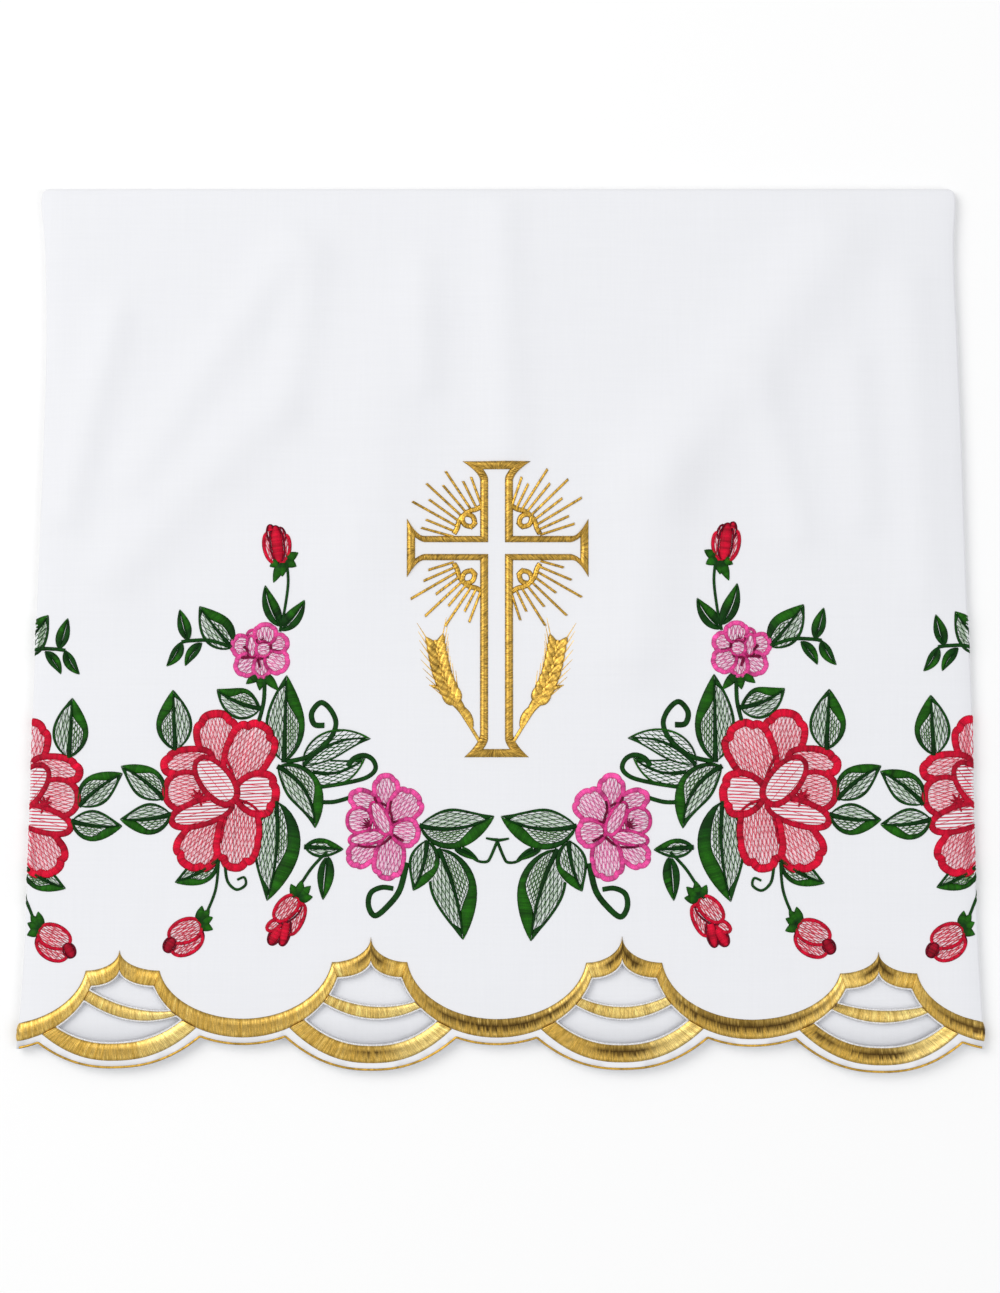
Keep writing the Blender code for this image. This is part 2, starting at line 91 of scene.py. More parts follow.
# Distance of each side fold from the middle, down the packet
SideRow = namedtuple("SideRow", "y left right")
SIDES = table(SideRow, [
    (0.2229, 0.2427, 0.2411), (0.1993, 0.2403, 0.2398), (0.1459, 0.2391, 0.2412),
    (0.0927, 0.24, 0.2427), (0.0135, 0.2422, 0.2443), (-0.0389, 0.2436, 0.2462),
    (-0.117, 0.2452, 0.2467), (-0.1687, 0.2466, 0.2481), (-0.2047, 0.2487, 0.2497),
    (-0.225, 0.2506, 0.2506),
])
FOLD_YS = [row.y for row in SIDES]
FOLD_REACHES = [row.right for row in SIDES], [row.left for row in SIDES]

# Air between the layers: the packet rises behind its folds and presses flat at its hem
LOFT = 0.0022
LOFT_RUN = 0.007
HEM_FADE = 0.060
HEM_LOFT = 0.35

# Soft ridges left by the folding, from one end to the other
Ridge = namedtuple("Ridge", "x0 y0 x1 y1 width height")
RIDGES = table(Ridge, [
    (0, 0.222, 0.004, 0.095, 0.012, 0.003),
    (0.175, 0.2, 0.085, 0.08, 0.0206, 0.0047),
    (0.085, 0.08, 0.07, -0.01, 0.0206, 0.0041),
    (-0.11, 0.2, -0.19, 0.08, 0.012, 0.003),
    (-0.125, 0.11, -0.2, 0.03, 0.0155, 0.0034),
    (-0.203, 0.16, -0.228, 0.06, 0.0103, 0.0034),
    (-0.098, 0.195, -0.112, 0.115, 0.0103, 0.0024),
    (-0.041, 0.19, -0.039, 0.13, 0.0095, 0.002),
    (0.138, 0.125, 0.155, 0.05, 0.0112, 0.0026),
    (0.186, 0.135, 0.19, 0.06, 0.0103, 0.0022),
    (-0.05, 0.16, -0.075, 0.03, 0.0206, 0.0022),
    (0.215, 0.18, 0.222, 0.02, 0.012, 0.0026),
])

# Worked border: four arches, and the swags that hang between them
# left and right are its shoulders, half its half width at the hem, and bar_left and
# bar_right the parts of that half width at which its bar ends
Arch = namedtuple("Arch", "x peak window shoulder left right half hem bar bar_left bar_right")
ARCHES = table(Arch, [
    (-0.1968, -0.1687, -0.1789, -0.1795, 0.0175, 0.0208, 0.0418, -0.2299, -0.205, 0.4, 0.67),
    (-0.0668, -0.162, -0.1741, -0.1751, 0.0202, 0.0189, 0.0441, -0.2312, -0.2045, 0.52, 0.55),
    (0.0632, -0.1615, -0.1733, -0.1754, 0.0187, 0.0207, 0.0441, -0.2308, -0.2047, 0.51, 0.54),
    (0.1958, -0.1697, -0.18, -0.1809, 0.02, 0.0199, 0.0431, -0.2323, -0.2066, 0.53, 0.55),
])
Swag = namedtuple("Swag", "x top bottom")
SWAGS = table(Swag, [
    (-0.261, -0.2077, -0.2172), (-0.1328, -0.2042, -0.2141), (-0.0016, -0.2044, -0.2142),
    (0.13, -0.2047, -0.215), (0.262, -0.207, -0.2172),
])
HEM_MARGIN = 0.0039
HEM_LINE = 0.0007
SHOULDER_DROP = 0.0082
SHOULDER_INSET = 0.0030
UPPER_RISE = 0.0045
INNER_RISE = 0.0114
SCALLOP_BAND = 0.0093
SCALLOP_FULLNESS = 2.3
BAR_BAND = 0.0067
BAR_FULLNESS = 2.0
# Parts of an arch's half width at which its scallop meets the swags, and half a bar's end
GOLD_CUSP = 0.955
SCALLOP_END = 0.775
BAR_END = 0.035

# Cross
CROSS_CENTRE = (-0.0018, 0.0403)
CrossArm = namedtuple("CrossArm", "turn reach half inner_half flare flare_run")
CROSS_ARMS = table(CrossArm, [
    (0, 0.0482, 0.0065, 0.003, 0.0157, 0.008),
    (0.5 * pi, 0.0459, 0.0087, 0.0043, 0.0182, 0.01),
    (pi, 0.047, 0.0065, 0.003, 0.0157, 0.0085),
    (1.5 * pi, 0.1096, 0.0087, 0.0043, 0.0171, 0.012),
])
CROSS_END_BAND = 0.0045
INNER_FLARE_RUN = 0.0050
INNER_FLARE = 0.0024

# Steps along the curves
BEND_STEPS = 8
SWAG_STEPS = 24
GOLD_PEAK_STEPS = 12
BAND_STEPS = 48
CUT_STEPS = 120
HEM_STEPS = 600
EGG_STEPS = 48
LOBED_STEPS = 72
LEAF_STEPS = 16
SMALL_LEAF_STEPS = 8
BLADE_STEPS = 12
SHORT_STEPS = 6
PEAK_STEPS = 10
SCALLOP_STEPS = 32
BAR_STEPS = 20
END_STEPS = 8
MIDDLE_STEPS = 12
SIDE_STEPS = 6
FLAP_STEPS = 8
FLARE_STEPS = 6
FLARE_CURVE = 1.6
SHORTEST_STEP = 0.002

# Rows and columns of the sheet's corners at its folds
LOWEST_ROW = -0.205
BESIDE_TOP = 0.005
ABOVE_ROWS = 0.012
BELOW_BACK = 0.020
CREASE_ROWS = 40
CREASE_BACK_ROWS = 24
TOP_COLUMNS = 60
TOP_FLAP_COLUMNS = 10
MERGE = 1e-7

# Where the sheet's other corners lie, on its front, its back and its flaps
FRONT_LOW = -0.2285
FRONT_TALL = 0.455
FRONT_HALF = 0.240
BACK_TALL = 0.40
BACK_HALF = 0.225
FLAP_LOW = -0.200
FLAP_TALL = 0.8
FLAP_WIDE = 0.220
FLAP_SPAN = 0.21
FOLD_GAP = 0.004

# Visible sheet: its outer face is the solid's, its thickness the real linen's
SHEET_THICKNESS = 0.0005
SHEET_TOP = THICKNESS / 2
FRONT_GRID = 0.0040
HIDDEN_GRID = 0.0140

# Threads: how they sink, dip between stitches (with painted shade in the dips), shake, drift and fleck
THREAD_SINK = 0.00008
# Painted shade: share of its colour that a stitch's valley and a thread's sunk sides keep
VALLEY_SHADE = 0.72
STITCH_JITTER = 0.00010
DRIFT_KEPT = 0.70
VALLEY_HEIGHT = 0.80
PADDING = 0.6
STEEPEST = 0.45
DARKEST_FLECK = 0.40
PALEST_FLECK = 1.45
SHORTEST_STITCH = 1e-6
SHORTEST_THREAD = 0.6
ROW_VARY = 0.10
ROW_JITTER = (0.9, 1.1)
FIRST_SEED = 11

# How satin is worked, by its use: its height and the pitch of its stitches, the points across it,
# how much painted shade darkens its rims, how its tone varies and drifts, and how much single points fleck
BORDER_SATIN = dict(pitch=0.0008, across=7, edge=0.30, vary=0.11, drift_kept=0.35, fleck=0.16)
CROSS_SATIN = dict(height=0.0010, pitch=0.0007, across=5, edge=0.35, vary=0.14, drift_kept=0.35, fleck=0.42)
RAY_ROPE = dict(width=0.0015, height=0.0007, pitch=0.0009, edge=0.50, vary=0.20, slant=0.0005,
                drift_kept=0.3, fleck=0.22)
LOOP_ROPE = dict(width=0.0030, height=0.0008, pitch=0.0008, edge=0.35, vary=0.2, drift_kept=0.3, fleck=0.28)
GRAIN_SATIN = dict(height=0.0010, pitch=0.00055, across=4, edge=0.3, vary=0.15, fleck=0.16)
AWN_ROPE = dict(width=0.0007, height=0.0004, pitch=0.0007, taper=0.5)
STALK_ROPE = dict(width=0.0020, height=0.0007, pitch=0.0006, edge=0.35, fleck=0.16)
BLADE_SATIN = dict(height=0.0008, pitch=0.00055, across=4, edge=0.3, fleck=0.16)
HEM_ROPE = dict(width=0.0013, height=0.0005, pitch=0.0007, edge=0.5, vary=0.12)
CUT_ROPE = dict(width=0.0013, height=0.00035, pitch=0.0008, edge=0.95, vary=0.03)
HEAVY_SATIN = dict(height=0.0007, pitch=0.00066, across=4, slant=0.0006, edge=0.40, vary=0.16, fleck=0.10)
LIGHT_SATIN = dict(height=0.0005, pitch=0.00066, edge=0.6, vary=0.16)
VEIN_ROPE = dict(height=0.0008, pitch=0.00066, taper=0.6)
STEM_ROPE = dict(height=0.0006, pitch=0.00066, edge=0.6)
SEPAL_SATIN = dict(height=0.0007, pitch=0.0007, across=4, edge=0.30, vary=0.16)
BUD_SATIN = dict(height=0.0008, pitch=0.00066, across=4, edge=0.45, vary=0.16)
BUD_RIM = dict(height=0.0006, pitch=0.00062)
BUD_OUTLINE = dict(height=0.0003, pitch=0.00062)
PETAL_RIM = dict(height=0.0007, pitch=0.00066, swell=0.3)
KNOT_ROPE = dict(height=0.0010, pitch=0.0006, taper=0.6)
SEAM_ROPE = dict(height=0.0013, pitch=0.0006, taper=0.3, vary=0.2)

# Open rows by their use, and how far the two sets of a net lean
CLOSE_ROWS = dict(pitch=0.00105, width=0.0011, height=0.00012)
LEVEL_ROWS = dict(pitch=0.0017, width=0.0009, height=0.00024)
LEVEL_TURN = 0.05
LEAF_ROW_TURN = 0.05
PETAL_ROW_TURN = 0.12
SPARSE_ROWS = dict(pitch=0.0042, width=0.00045, height=0.00016)
PETAL_NET = dict(pitch=0.0019, width=0.00044, height=0.00034, lean=0.30)
LEAF_ROWS = dict(pitch=0.0012, width=0.00125, height=0.00012)
LEAF_NET = dict(pitch=0.0020, width=0.0005, height=0.00032)
LEAF_LEANS = (0.62, 0.26)
BARE_NETS = [
    dict(pitch=0.0019, width=0.0007, height=0.00018, lean=0.30),
    dict(pitch=0.00165, width=0.0008, height=0.00018, lean=0.26),
]

# Gold bands: their height, and how far round the level their painted dark reflection reaches
SWAG_GOLD = (0.0012, 0.21)
PEAK_GOLD = (0.0011, 0.14)
BAR_GOLD = (0.0009, 0.0)
SCALLOP_GOLD = (0.0011, 0.42)
# Leans at which a band gets a painted dark reflection or a painted highlight, and how far round them; where
# the left half's painted dark reflection fades in and the right half's grows; and the place, width and
# strength of the streaks
FALLING = (-0.85, 0.32)
RISING = (0.70, 0.45)
MIDDLE_RUN = 0.11
RIGHT_START = 0.05
RIGHT_RUN = 0.16
STREAK_PLACE = 0.39
STREAK_WIDTH = 0.24
DARKEST_GOLD = 0.96
# Strength of the painted dark reflection down the middle of the cross's bands
CROSS_DARK_REFLECTION = 0.62

# Colours of the linen and the threads, and of the gold's painted highlight and painted dark reflection
LINEN = (0.798, 0.804, 0.834)
GOLD = (0.95, 0.58, 0.105)
WHITE = (0.83, 0.83, 0.85)
# Painted highlight on the gold where its stitches face the light
GOLD_HIGHLIGHT = (1.0, 0.75, 0.26)
# A darker gold for the thin lines: hem line, rays and loops
GOLD_DARKER = (0.72, 0.42, 0.060)
# Painted dark reflection on the gold where its stitches turn away from the light
GOLD_DARK_REFLECTION = (0.050, 0.021, 0.001)
RED = (0.72, 0.004, 0.035)
RED_DARK = (0.43, 0.003, 0.024)
RED_LINE = (0.13, 0.001, 0.012)
ROSE_DEEP = (0.80, 0.110, 0.165)
ROSE_PALE = (0.95, 0.570, 0.640)
ROSE_ROW = (0.68, 0.030, 0.080)
PINK = (0.90, 0.095, 0.38)
PINK_DARK = (0.60, 0.028, 0.20)
PINK_DEEP = (0.80, 0.235, 0.460)
PINK_PALE = (0.86, 0.480, 0.660)
PINK_ROW = (0.72, 0.085, 0.330)
MAGENTA_DARK = (0.16, 0.003, 0.035)
GREEN = (0.005, 0.054, 0.004)
GREEN_LIGHT = (0.014, 0.120, 0.003)
GREEN_DARK = (0.002, 0.036, 0.003)
GREEN_HATCH = (0.022, 0.110, 0.018)
LEAF_DEEP = (0.150, 0.275, 0.115)
LEAF_PALE = (0.405, 0.538, 0.384)
LEAF_LINE = (0.008, 0.060, 0.008)

# The flower group left of the middle, in millimetres; the other groups are worked from it.
# heavy is the side of a leaf with the wider satin: 1 its left, -1 its right
Leaf = namedtuple("Leaf", "x0 y0 x1 y1 width bend heavy style", defaults=("open",))
LEAVES = table(Leaf, [
    (-114.2, -1, -122.7, 20.8, 7.8, 0.06, -1, "full"),
    (-114.9, -3, -102, 13.1, 7.8, -0.06, 1, "full"),
    (-139.4, -12.3, -157, 9.8, 15.2, 0.02, -1, "half"),
    (-162.8, -8.3, -167.3, 8.1, 6.3, 0, -1, "full"),
    (-166.2, -9, -174, -21.7, 5.5, 0.08, 1, "full"),
    (-155.5, -9.6, -164.1, -21.7, 5.2, -0.08, -1, "full"),
    (-124.6, -43.7, -147.6, -33.7, 14.6, 0.08, -1),
    (-112.4, -71.9, -111.2, -26.3, 18.3, 0, -1),
    (-169, -65.8, -170.3, -34, 16.7, 0, 1),
    (-174.6, -91.1, -197.2, -73.8, 14.6, -0.05, -1),
    (-170.7, -98.8, -197.4, -101.4, 14.6, 0.05, 1),
    (-145.9, -122.1, -168.6, -134.1, 11.5, 0.05, 1),
    (-115.8, -73.9, -96, -106.1, 16.2, 0.15, 1),
    (-116.3, -91.9, -120.8, -143.7, 21.9, 0.05, 1, "half"),
    (-102.5, -73.7, -67.2, -59.6, 13, 0.13, 1, "bare"),
    (-103.1, -74.7, -70, -69.4, 12.5, -0.16, -1, "bare"),
    (-101.6, -115.7, -81.1, -117, 8.9, 0, 1),
    (-89.3, -120.3, -91.8, -143.2, 7.8, 0, 1, "full"),
    (-41.8, -104.7, -2.9, -99.7, 18.8, -0.1, -1),
    (-37.8, -112, -45.1, -138.4, 14.1, 0.06, 1),
    (-32.2, -116.5, -19.2, -163.8, 21.4, 0.05, 1),
    (-24.5, -116, -11, -122.8, 4.2, 0.04, -1),
])
# Calyxes of the buds: where each starts, and the tips of its sepals
Calyx = namedtuple("Calyx", "x y tips")
CALYXES = table(Calyx, [
    (-112.6, 33.9, [(-105.5, 37.9), (-106.4, 30.6)]),
    (-113.6, 33.9, [(-118.4, 22.1), (-113.8, 25.3), (-120.4, 30.6)]),
    (-124.1, -24.6, [(-132.4, -31.0), (-115.4, -34.4), (-125.3, -34.4)]),
    (-156.0, -155.5, [(-154.3, -146.1), (-148.7, -152.1), (-148.6, -158.5), (-150.4, -147.8)]),
    (-104.8, -142.7, [(-108.4, -134.9), (-102.7, -132.8), (-98.1, -135.9), (-97.0, -141.6)]),
])
SEPAL_WIDTH = 4.6
Stem = namedtuple("Stem", "width taper places")
STEMS = table(Stem, [
    (1.7, 0, [(-111.5, 32.7), (-110.7, 21.8), (-112.6, 7.1), (-114.9, -3.6)]),
    (2.2, 0, [(-166.2, -9), (-160.9, -8.3), (-151, -8.3), (-139.4, -12)]),
    (2.4, 0, [(-122.7, -27.7), (-123.1, -40.3), (-126.2, -52.8)]),
    (2.7, -0.25, [(-111.1, -71.6), (-99.2, -68.6), (-89.3, -60.6), (-85.4, -52), (-88.1, -44.6),
                  (-93.3, -40.7), (-98, -46), (-96.7, -52), (-91.4, -52.6)]),
    (1.7, 0, [(-145.9, -123.5), (-147.5, -138.4), (-152.9, -152)]),
    (1.8, 0.2, [(-142.6, -124.9), (-141.2, -133.5), (-136.6, -137.8), (-131.9, -135.4),
                (-132.6, -131.5), (-136.2, -132.8)]),
    (2.3, -0.4, [(-94.5, -84.9), (-80.3, -82.6), (-69.6, -79.8), (-64.8, -75.5), (-66.1, -70.6),
                 (-70.6, -68.2), (-75.9, -69.8), (-79.2, -74)]),
    (2.5, 0, [(-95.2, -92.4), (-86.3, -92.4), (-77, -89.8)]),
    (1.8, 0, [(-89.8, -118.3), (-97.6, -126.6), (-103.8, -135.9)]),
    (1.5, -0.2, [(-22.9, -116.3), (-15.7, -120.4), (-11.3, -123.1), (-6.9, -123.4), (-4.9, -121),
                 (-1.6, -113.2)]),
    (3.6, 0.2, [(-48.5, -123.8), (-51.9, -137.9), (-58.6, -146.8), (-64.8, -151.3), (-68.1, -146.2),
                (-67, -139.6), (-61.4, -136.7), (-55.3, -137.3)]),
    (1.2, -0.8, [(-7.3, -111.2), (-4.2, -111.8), (-1, -112.2)]),
])
BudPetal = namedtuple("BudPetal", "x0 y0 x1 y1 width fill")
TOP_BUD = table(BudPetal, [
    (-115.4, 32.8, -117.8, 51.8, 6.5, "solid"),
    (-119.3, 43.6, -120.4, 52.4, 3.3, "solid"),
    (-113.6, 43.6, -115.5, 51, 3.6, "dark"),
    (-117, 32.6, -121.2, 48.5, 8.2, "pale"),
    (-114.7, 32.6, -112.4, 47.2, 6.9, "pale"),
])
SIDE_BUD = table(BudPetal, [
    (-169.1, -163.1, -172.7, -169.8, 5.2, "dark"),
    (-154.9, -155.9, -171, -162.6, 11.6, "pale"),
    (-154.8, -160, -169.7, -169.6, 12.2, "pale"),
    (-154.9, -158, -167.6, -167.6, 13, "solid"),
])
LOW_BUD = table(BudPetal, [
    (-105.2, -141.6, -116.1, -153.2, 9.3, "pale"),
    (-103.3, -145.2, -114.6, -154.8, 5.7, "solid"),
    (-113.7, -154.1, -120.4, -158.4, 4.7, "pale"),
    (-113.7, -156.7, -118.9, -166, 5.3, "solid"),
    (-110, -153, -112.9, -166.6, 4.9, "solid"),
    (-102.4, -145.2, -109, -160.8, 7.2, "pale"),
    (-107.2, -150.4, -114.2, -161.2, 6.4, "dark"),
    (-104.6, -143.8, -114.6, -159.6, 12.5, "pale"),
])
BUD_EDGE = 0.0020
BUD_LINE = 0.0009
BUD_FULL = -0.04
Petal = namedtuple("Petal", "x0 y0 x1 y1 width full lobes fill", defaults=(0, 0, "net"))
RED_ROSE = table(Petal, [
    (-156.8, -70.4, -138.7, -92.3, 15.5, 0.05, 0, "rows"),
    (-139.2, -93.2, -170.4, -102.6, 12.6, 0, 0, "rows"),
    (-152.2, -86.9, -174, -86.9, 20),
    (-137.4, -86.9, -116.5, -89.2, 22, 0.22, 7, "rows"),
    (-140.6, -85.2, -123.7, -52.8, 23.6, 0.32, 7),
    (-132.5, -86.9, -138.2, -126.4, 21.8, 0.24, 7),
    (-149.6, -69, -174.5, -74.2, 13.5, 0.12, 5),
    (-145.5, -77.1, -148.5, -46.6, 20.6, 0.34, 5),
    (-145.8, -99.5, -162.2, -125.2, 21.6, 0.34, 7),
    (-141, -102, -141, -72, 27, 0, 0, "dark"),
])
PINK_ROSE = table(Petal, [
    (-66.1, -92.6, -58, -109.1, 7.9, 0.05, 0),
    (-59.3, -109.2, -78.1, -112.6, 7.1),
    (-66.9, -102.2, -79.3, -101.9, 13.3),
    (-56.4, -106.9, -42.6, -109.2, 13.9, 0.22, 5),
    (-57.3, -103, -43.8, -88.4, 16.3, 0.3, 7),
    (-55, -108.1, -59.2, -131.8, 15.4, 0.24, 7),
    (-62.7, -94, -77.6, -89.5, 10.1, 0.12, 5),
    (-58.4, -96.8, -59.6, -78.8, 12.5, 0.2, 5),
    (-62.1, -111.4, -77.5, -123.8, 12.7, 0.18, 7),
    (-60.5, -113, -60.5, -94, 16, 0, 0, "dark"),
])
SMALL_ROSE = table(Petal, [
    (-119.7, -12.5, -127.2, -13, 8),
    (-129.1, -16.8, -129.9, -5.8, 5.1),
    (-122.4, -10.4, -122.5, 0.1, 11.3, 0.12, 5),
    (-120.6, -10.4, -111, -9.3, 9.5, 0.12, 5),
    (-122.1, -16.3, -111.5, -21.9, 12, 0.16, 5),
    (-124, -15.7, -124.4, -27.6, 8.8, 0.12, 5),
    (-125, -17.1, -137.2, -23.7, 11.5, 0.12, 5),
    (-129.6, -11.7, -139.6, -10.4, 10.9, 0.12, 5),
    (-126.4, -9.3, -130.7, -3.4, 5.9, 0.1, 0),
    (-124.5, -20, -124.5, -8, 11, 0, 0, "dark"),
])
# Threads and edge widths of each rose: its edge and the dark part of it, its open rows from deep
# to pale, the thin rows over them, and the widths of outer and inner edges
Inks = namedtuple("Inks", "edge dark deep pale row outer inner")
RED_INKS = Inks(RED, RED_DARK, ROSE_DEEP, ROSE_PALE, ROSE_ROW, 0.0037, 0.0030)
PINK_INKS = Inks(PINK, PINK_DARK, PINK_DEEP, PINK_PALE, PINK_ROW, 0.0025, 0.0017)
SMALL_INKS = PINK_INKS._replace(outer=0.0022, inner=0.0014)
BUD_INKS = RED_INKS._replace(deep=(0.66, 0.045, 0.080), pale=(0.82, 0.210, 0.270))
# Dark knots in the middles of the roses, each a fan of short strokes
Knot = namedtuple("Knot", "x y radius first last count width")
RED_KNOT = Knot(-156.6, -90.0, 5.2, 0, 330, 9, 2.4)
PINK_KNOTS = [Knot(-67.3, -105.0, 5.6, 70, 195, 7, 1.7), Knot(-124.0, -8.2, 2.6, 0, 300, 5, 1.2)]
# Dark lines between the petals
SEAM_WIDTH = 0.0019
RED_SEAMS = [
    [(-135.2, -91.6), (-129.4, -93.8), (-124, -98.8)],
    [(-141.4, -97), (-143.4, -105), (-144.8, -113.9)],
    [(-142.9, -69.3), (-140, -75.1), (-137, -83.1)],
]
PINK_SEAMS = [
    [(-65, -89.7), (-64.2, -92.5), (-61, -93.3), (-57.4, -95.6)],
    [(-56.7, -91.8), (-57.3, -96.4), (-56, -101), (-55.9, -108.7)],
    [(-55.7, -103.3), (-52.4, -102.2), (-49.3, -101.5)],
    [(-55.4, -109.6), (-53, -111.1), (-50, -112.8)],
    [(-56.3, -110.2), (-59.7, -113.3), (-63.2, -115.7), (-65.1, -120.1)],
    [(-73.8, -114.8), (-69.5, -115.7), (-64, -115.6)],
    [(-127, -7.5), (-126.3, -9.6), (-123.1, -9), (-119.6, -9.7)],
    [(-119.8, -10.3), (-119, -13.1), (-114.5, -13.8)],
    [(-133.7, -11.3), (-131.9, -13.1), (-131.2, -16.4), (-129.1, -17.2)],
    [(-135, -17.2), (-129.2, -17.1), (-124.9, -17.8), (-120.6, -16.8)],
    [(-126.4, -17.8), (-125.8, -20), (-125.1, -22.4)],
]
# Leaves by style: widths of the satin on the heavy and the light half, the shares of the halves
# that are solid, how far up the heavy half closes, and the vein's width
LeafKind = namedtuple("LeafKind", "heavy_rim light_rim heavy_solid light_solid start vein")
LEAF_KINDS = {
    "open": LeafKind(0.0026, 0.0018, 0.33, 0.0, 0.42, 0.0030),
    "half": LeafKind(0.0026, 0.0018, 0.60, 0.15, 0.42, 0.0026),
    "full": LeafKind(0.0026, 0.0018, 1.0, 0.9, 0.42, 0.0013),
    "bare": LeafKind(0.0012, 0.0012, 0.0, 0.0, 0.85, 0.0024),
}
LIGHT_START = 0.76
LEAF_HALF = 0.56
LEAF_TIP = 0.0002
LOBE_DEPTH = 0.075
EGG_POWER = 0.86

# Where each flower group lies: mirrored or not, moved along X and Y, and a little wider, taller
# and leaning, as each was worked by itself
Group = namedtuple("Group", "mirror shift rise wide tall lean")
GROUPS = table(Group, [
    (1, 0, 0, 1, 1, 0),
    (-1, -0.0011, 0.0009, 1.017, 1.01, 0.015),
    (-1, -0.3929, -0.0045, 1, 0.99, 0.005),
    (1, 0.3947, -0.0026, 1, 1, 0),
])

# Rays in each corner of the cross: the angles of the first and last, and how far each reaches
Fan = namedtuple("Fan", "first last reaches")
FANS = table(Fan, [
    (17.9, 71, (42.9, 41.6, 52.1, 43.6, 52.5, 44.5, 49.9, 38.2, 40.2)),
    (109.7, 164.5, (40.4, 40, 49.1, 44, 50.6, 44.2, 50.9, 40.4, 41.3)),
    (197.4, 249.4, (37.8, 42.2, 52.5, 40.2, 51.9, 39.7, 49, 37.4, 41.6)),
    (288, 344.1, (39.8, 36.7, 47.9, 39.5, 50.8, 38.9, 51.3, 42.5, 36.5)),
])
RAY_CENTRE = (-0.0016, 0.0400)
RAY_START = 0.0235
# One loop in a corner of the cross, from its arm round, in millimetres from the middle
LOOP = [(22.5, 7.8), (20.8, 10.8), (19.6, 14.8), (16.6, 18.0), (12.8, 17.0), (11.8, 13.4), (14.2, 11.0)]

# Two ears of corn beside the foot of the cross
EAR_GRAINS = 8
EAR_START = 0.42
EAR_SPAN = 0.50
EAR_STEP = 0.002
GRAIN_LEAN = 0.55
EAR_PATH = [(7.6, -63.0), (12.5, -55.0), (20.5, -42.0), (28.0, -26.0), (32.0, -8.0)]
EAR_X = -0.0018
GRAIN_LENGTH = 0.0088
GRAIN_WIDTH = 0.0040
AWN_LENGTH = 0.0085
BLADE_WIDTH = 0.0042


def bell(value, centre, width):
    return exp(-(((value - centre) / width) ** 2))


def clamped(value, low=0.0, high=1.0):
    return min(max(value, low), high)


def mixed(first, second, share):
    """What lies between two places or colours, at a share of the way."""
    return tuple(a + (b - a) * share for a, b in zip(first, second))


def spread(first, last, steps):
    """Even steps from first to last, both with them."""
    return [first + (last - first) * i / steps for i in range(steps + 1)]


def side_reach(y, side):
    """Distance of the side fold from the middle at height y, smooth through the table."""
    ys, reach = FOLD_YS, FOLD_REACHES[side < 0]
    if y >= ys[0]:
        return reach[0]
    if y <= ys[-1]:
        return reach[-1]
    i = next(k for k in range(len(ys) - 1) if ys[k + 1] <= y)
    before, after = max(i - 1, 0), min(i + 2, len(ys) - 1)
    span = ys[i + 1] - ys[i]
    t = (y - ys[i]) / span
    first = (reach[i + 1] - reach[before]) / (ys[i + 1] - ys[before]) * span
    last = (reach[after] - reach[i]) / (ys[after] - ys[i]) * span
    return (reach[i] * (2 * t**3 - 3 * t**2 + 1) + first * (t**3 - 2 * t**2 + t)
            + reach[i + 1] * (3 * t**2 - 2 * t**3) + last * (t**3 - t**2))


def over_top(v, reach):
    """Y and Z of pattern height v, for a layer that lies reach outside the top fold's axis."""
    run = v - FOLD_AXIS_Y
    if run <= 0:
        return v, FOLD_AXIS_Z + reach
    if run < pi * FRONT_REACH:
        angle = run / FRONT_REACH
        return FOLD_AXIS_Y + reach * sin(angle), FOLD_AXIS_Z + reach * cos(angle)
    return FOLD_AXIS_Y - (run - pi * FRONT_REACH), FOLD_AXIS_Z - reach


def crease(v, side):
    """Where the side fold starts on the pattern, at pattern height v."""
    y = over_top(v, FRONT_REACH)[0]
    turn = clamped((y - TOP_Y + CORNER_RADIUS) / CORNER_RADIUS, 0.0, CORNER_TURN)
    rounding = CORNER_RADIUS * (1 - sqrt(1 - turn * turn))
    return side_reach(y, side) - THICKNESS / 2 - SIDE_BEND - rounding


def loft(x, y):
    """Rise of the front above its pressed height."""
    to_side = max(side_reach(y, x) - abs(x), 0.0)
    to_top = max(TOP_Y - y, 0.0)
    hem = clamped((y + TOP_Y) / HEM_FADE)
    rise = LOFT * (HEM_LOFT + (1 - HEM_LOFT) * hem * hem * (3 - 2 * hem))
    for ridge in RIDGES:
        run = Vector((ridge.x1 - ridge.x0, ridge.y1 - ridge.y0))
        place = Vector((x - ridge.x0, y - ridge.y0))
        along = clamped(place.dot(run) / run.length_squared)
        away = (place - run * along).length / ridge.width
        rise += ridge.height * exp(-away * away)
    return rise * (1 - exp(-to_side / LOFT_RUN)) * (1 - exp(-to_top / LOFT_RUN))


def folded(u, v, height):
    """Place in the packet of the pattern's point (u, v), height above the sheet's middle."""
    side = copysign(1.0, u)
    start = crease(v, side)
    past = abs(u) - start
    if past <= 0:
        x, reach = abs(u), FRONT_REACH + height
    elif past < SIDE_BEND_RUN:
        angle = past / SIDE_BEND
        x = start + (SIDE_BEND + height) * sin(angle)
        reach = FRONT_REACH - SIDE_BEND + (SIDE_BEND + height) * cos(angle)
    else:
        x, reach = start - (past - SIDE_BEND_RUN), FLAP_REACH - height
    x *= side
    y, z = over_top(v, reach)
    share = max(z - THICKNESS, 0.0) / (2 * FOLD_AXIS_Z - THICKNESS)
    return Vector((x, y, z + share * loft(x, y)))


def swag_y(x, bottom_x, bottom_y, end_x, end_y, rise, grow=0.0):
    """Height at x of a swag's edge, an ellipse through its bottom and its end."""
    tall = end_y + rise - bottom_y
    wide = abs(end_x - bottom_x) / sqrt(1 - (rise / tall) ** 2)
    across = min(abs(x - bottom_x) / (wide + grow), 1.0)
    return bottom_y + tall - (tall + grow) * sqrt(1 - across * across)


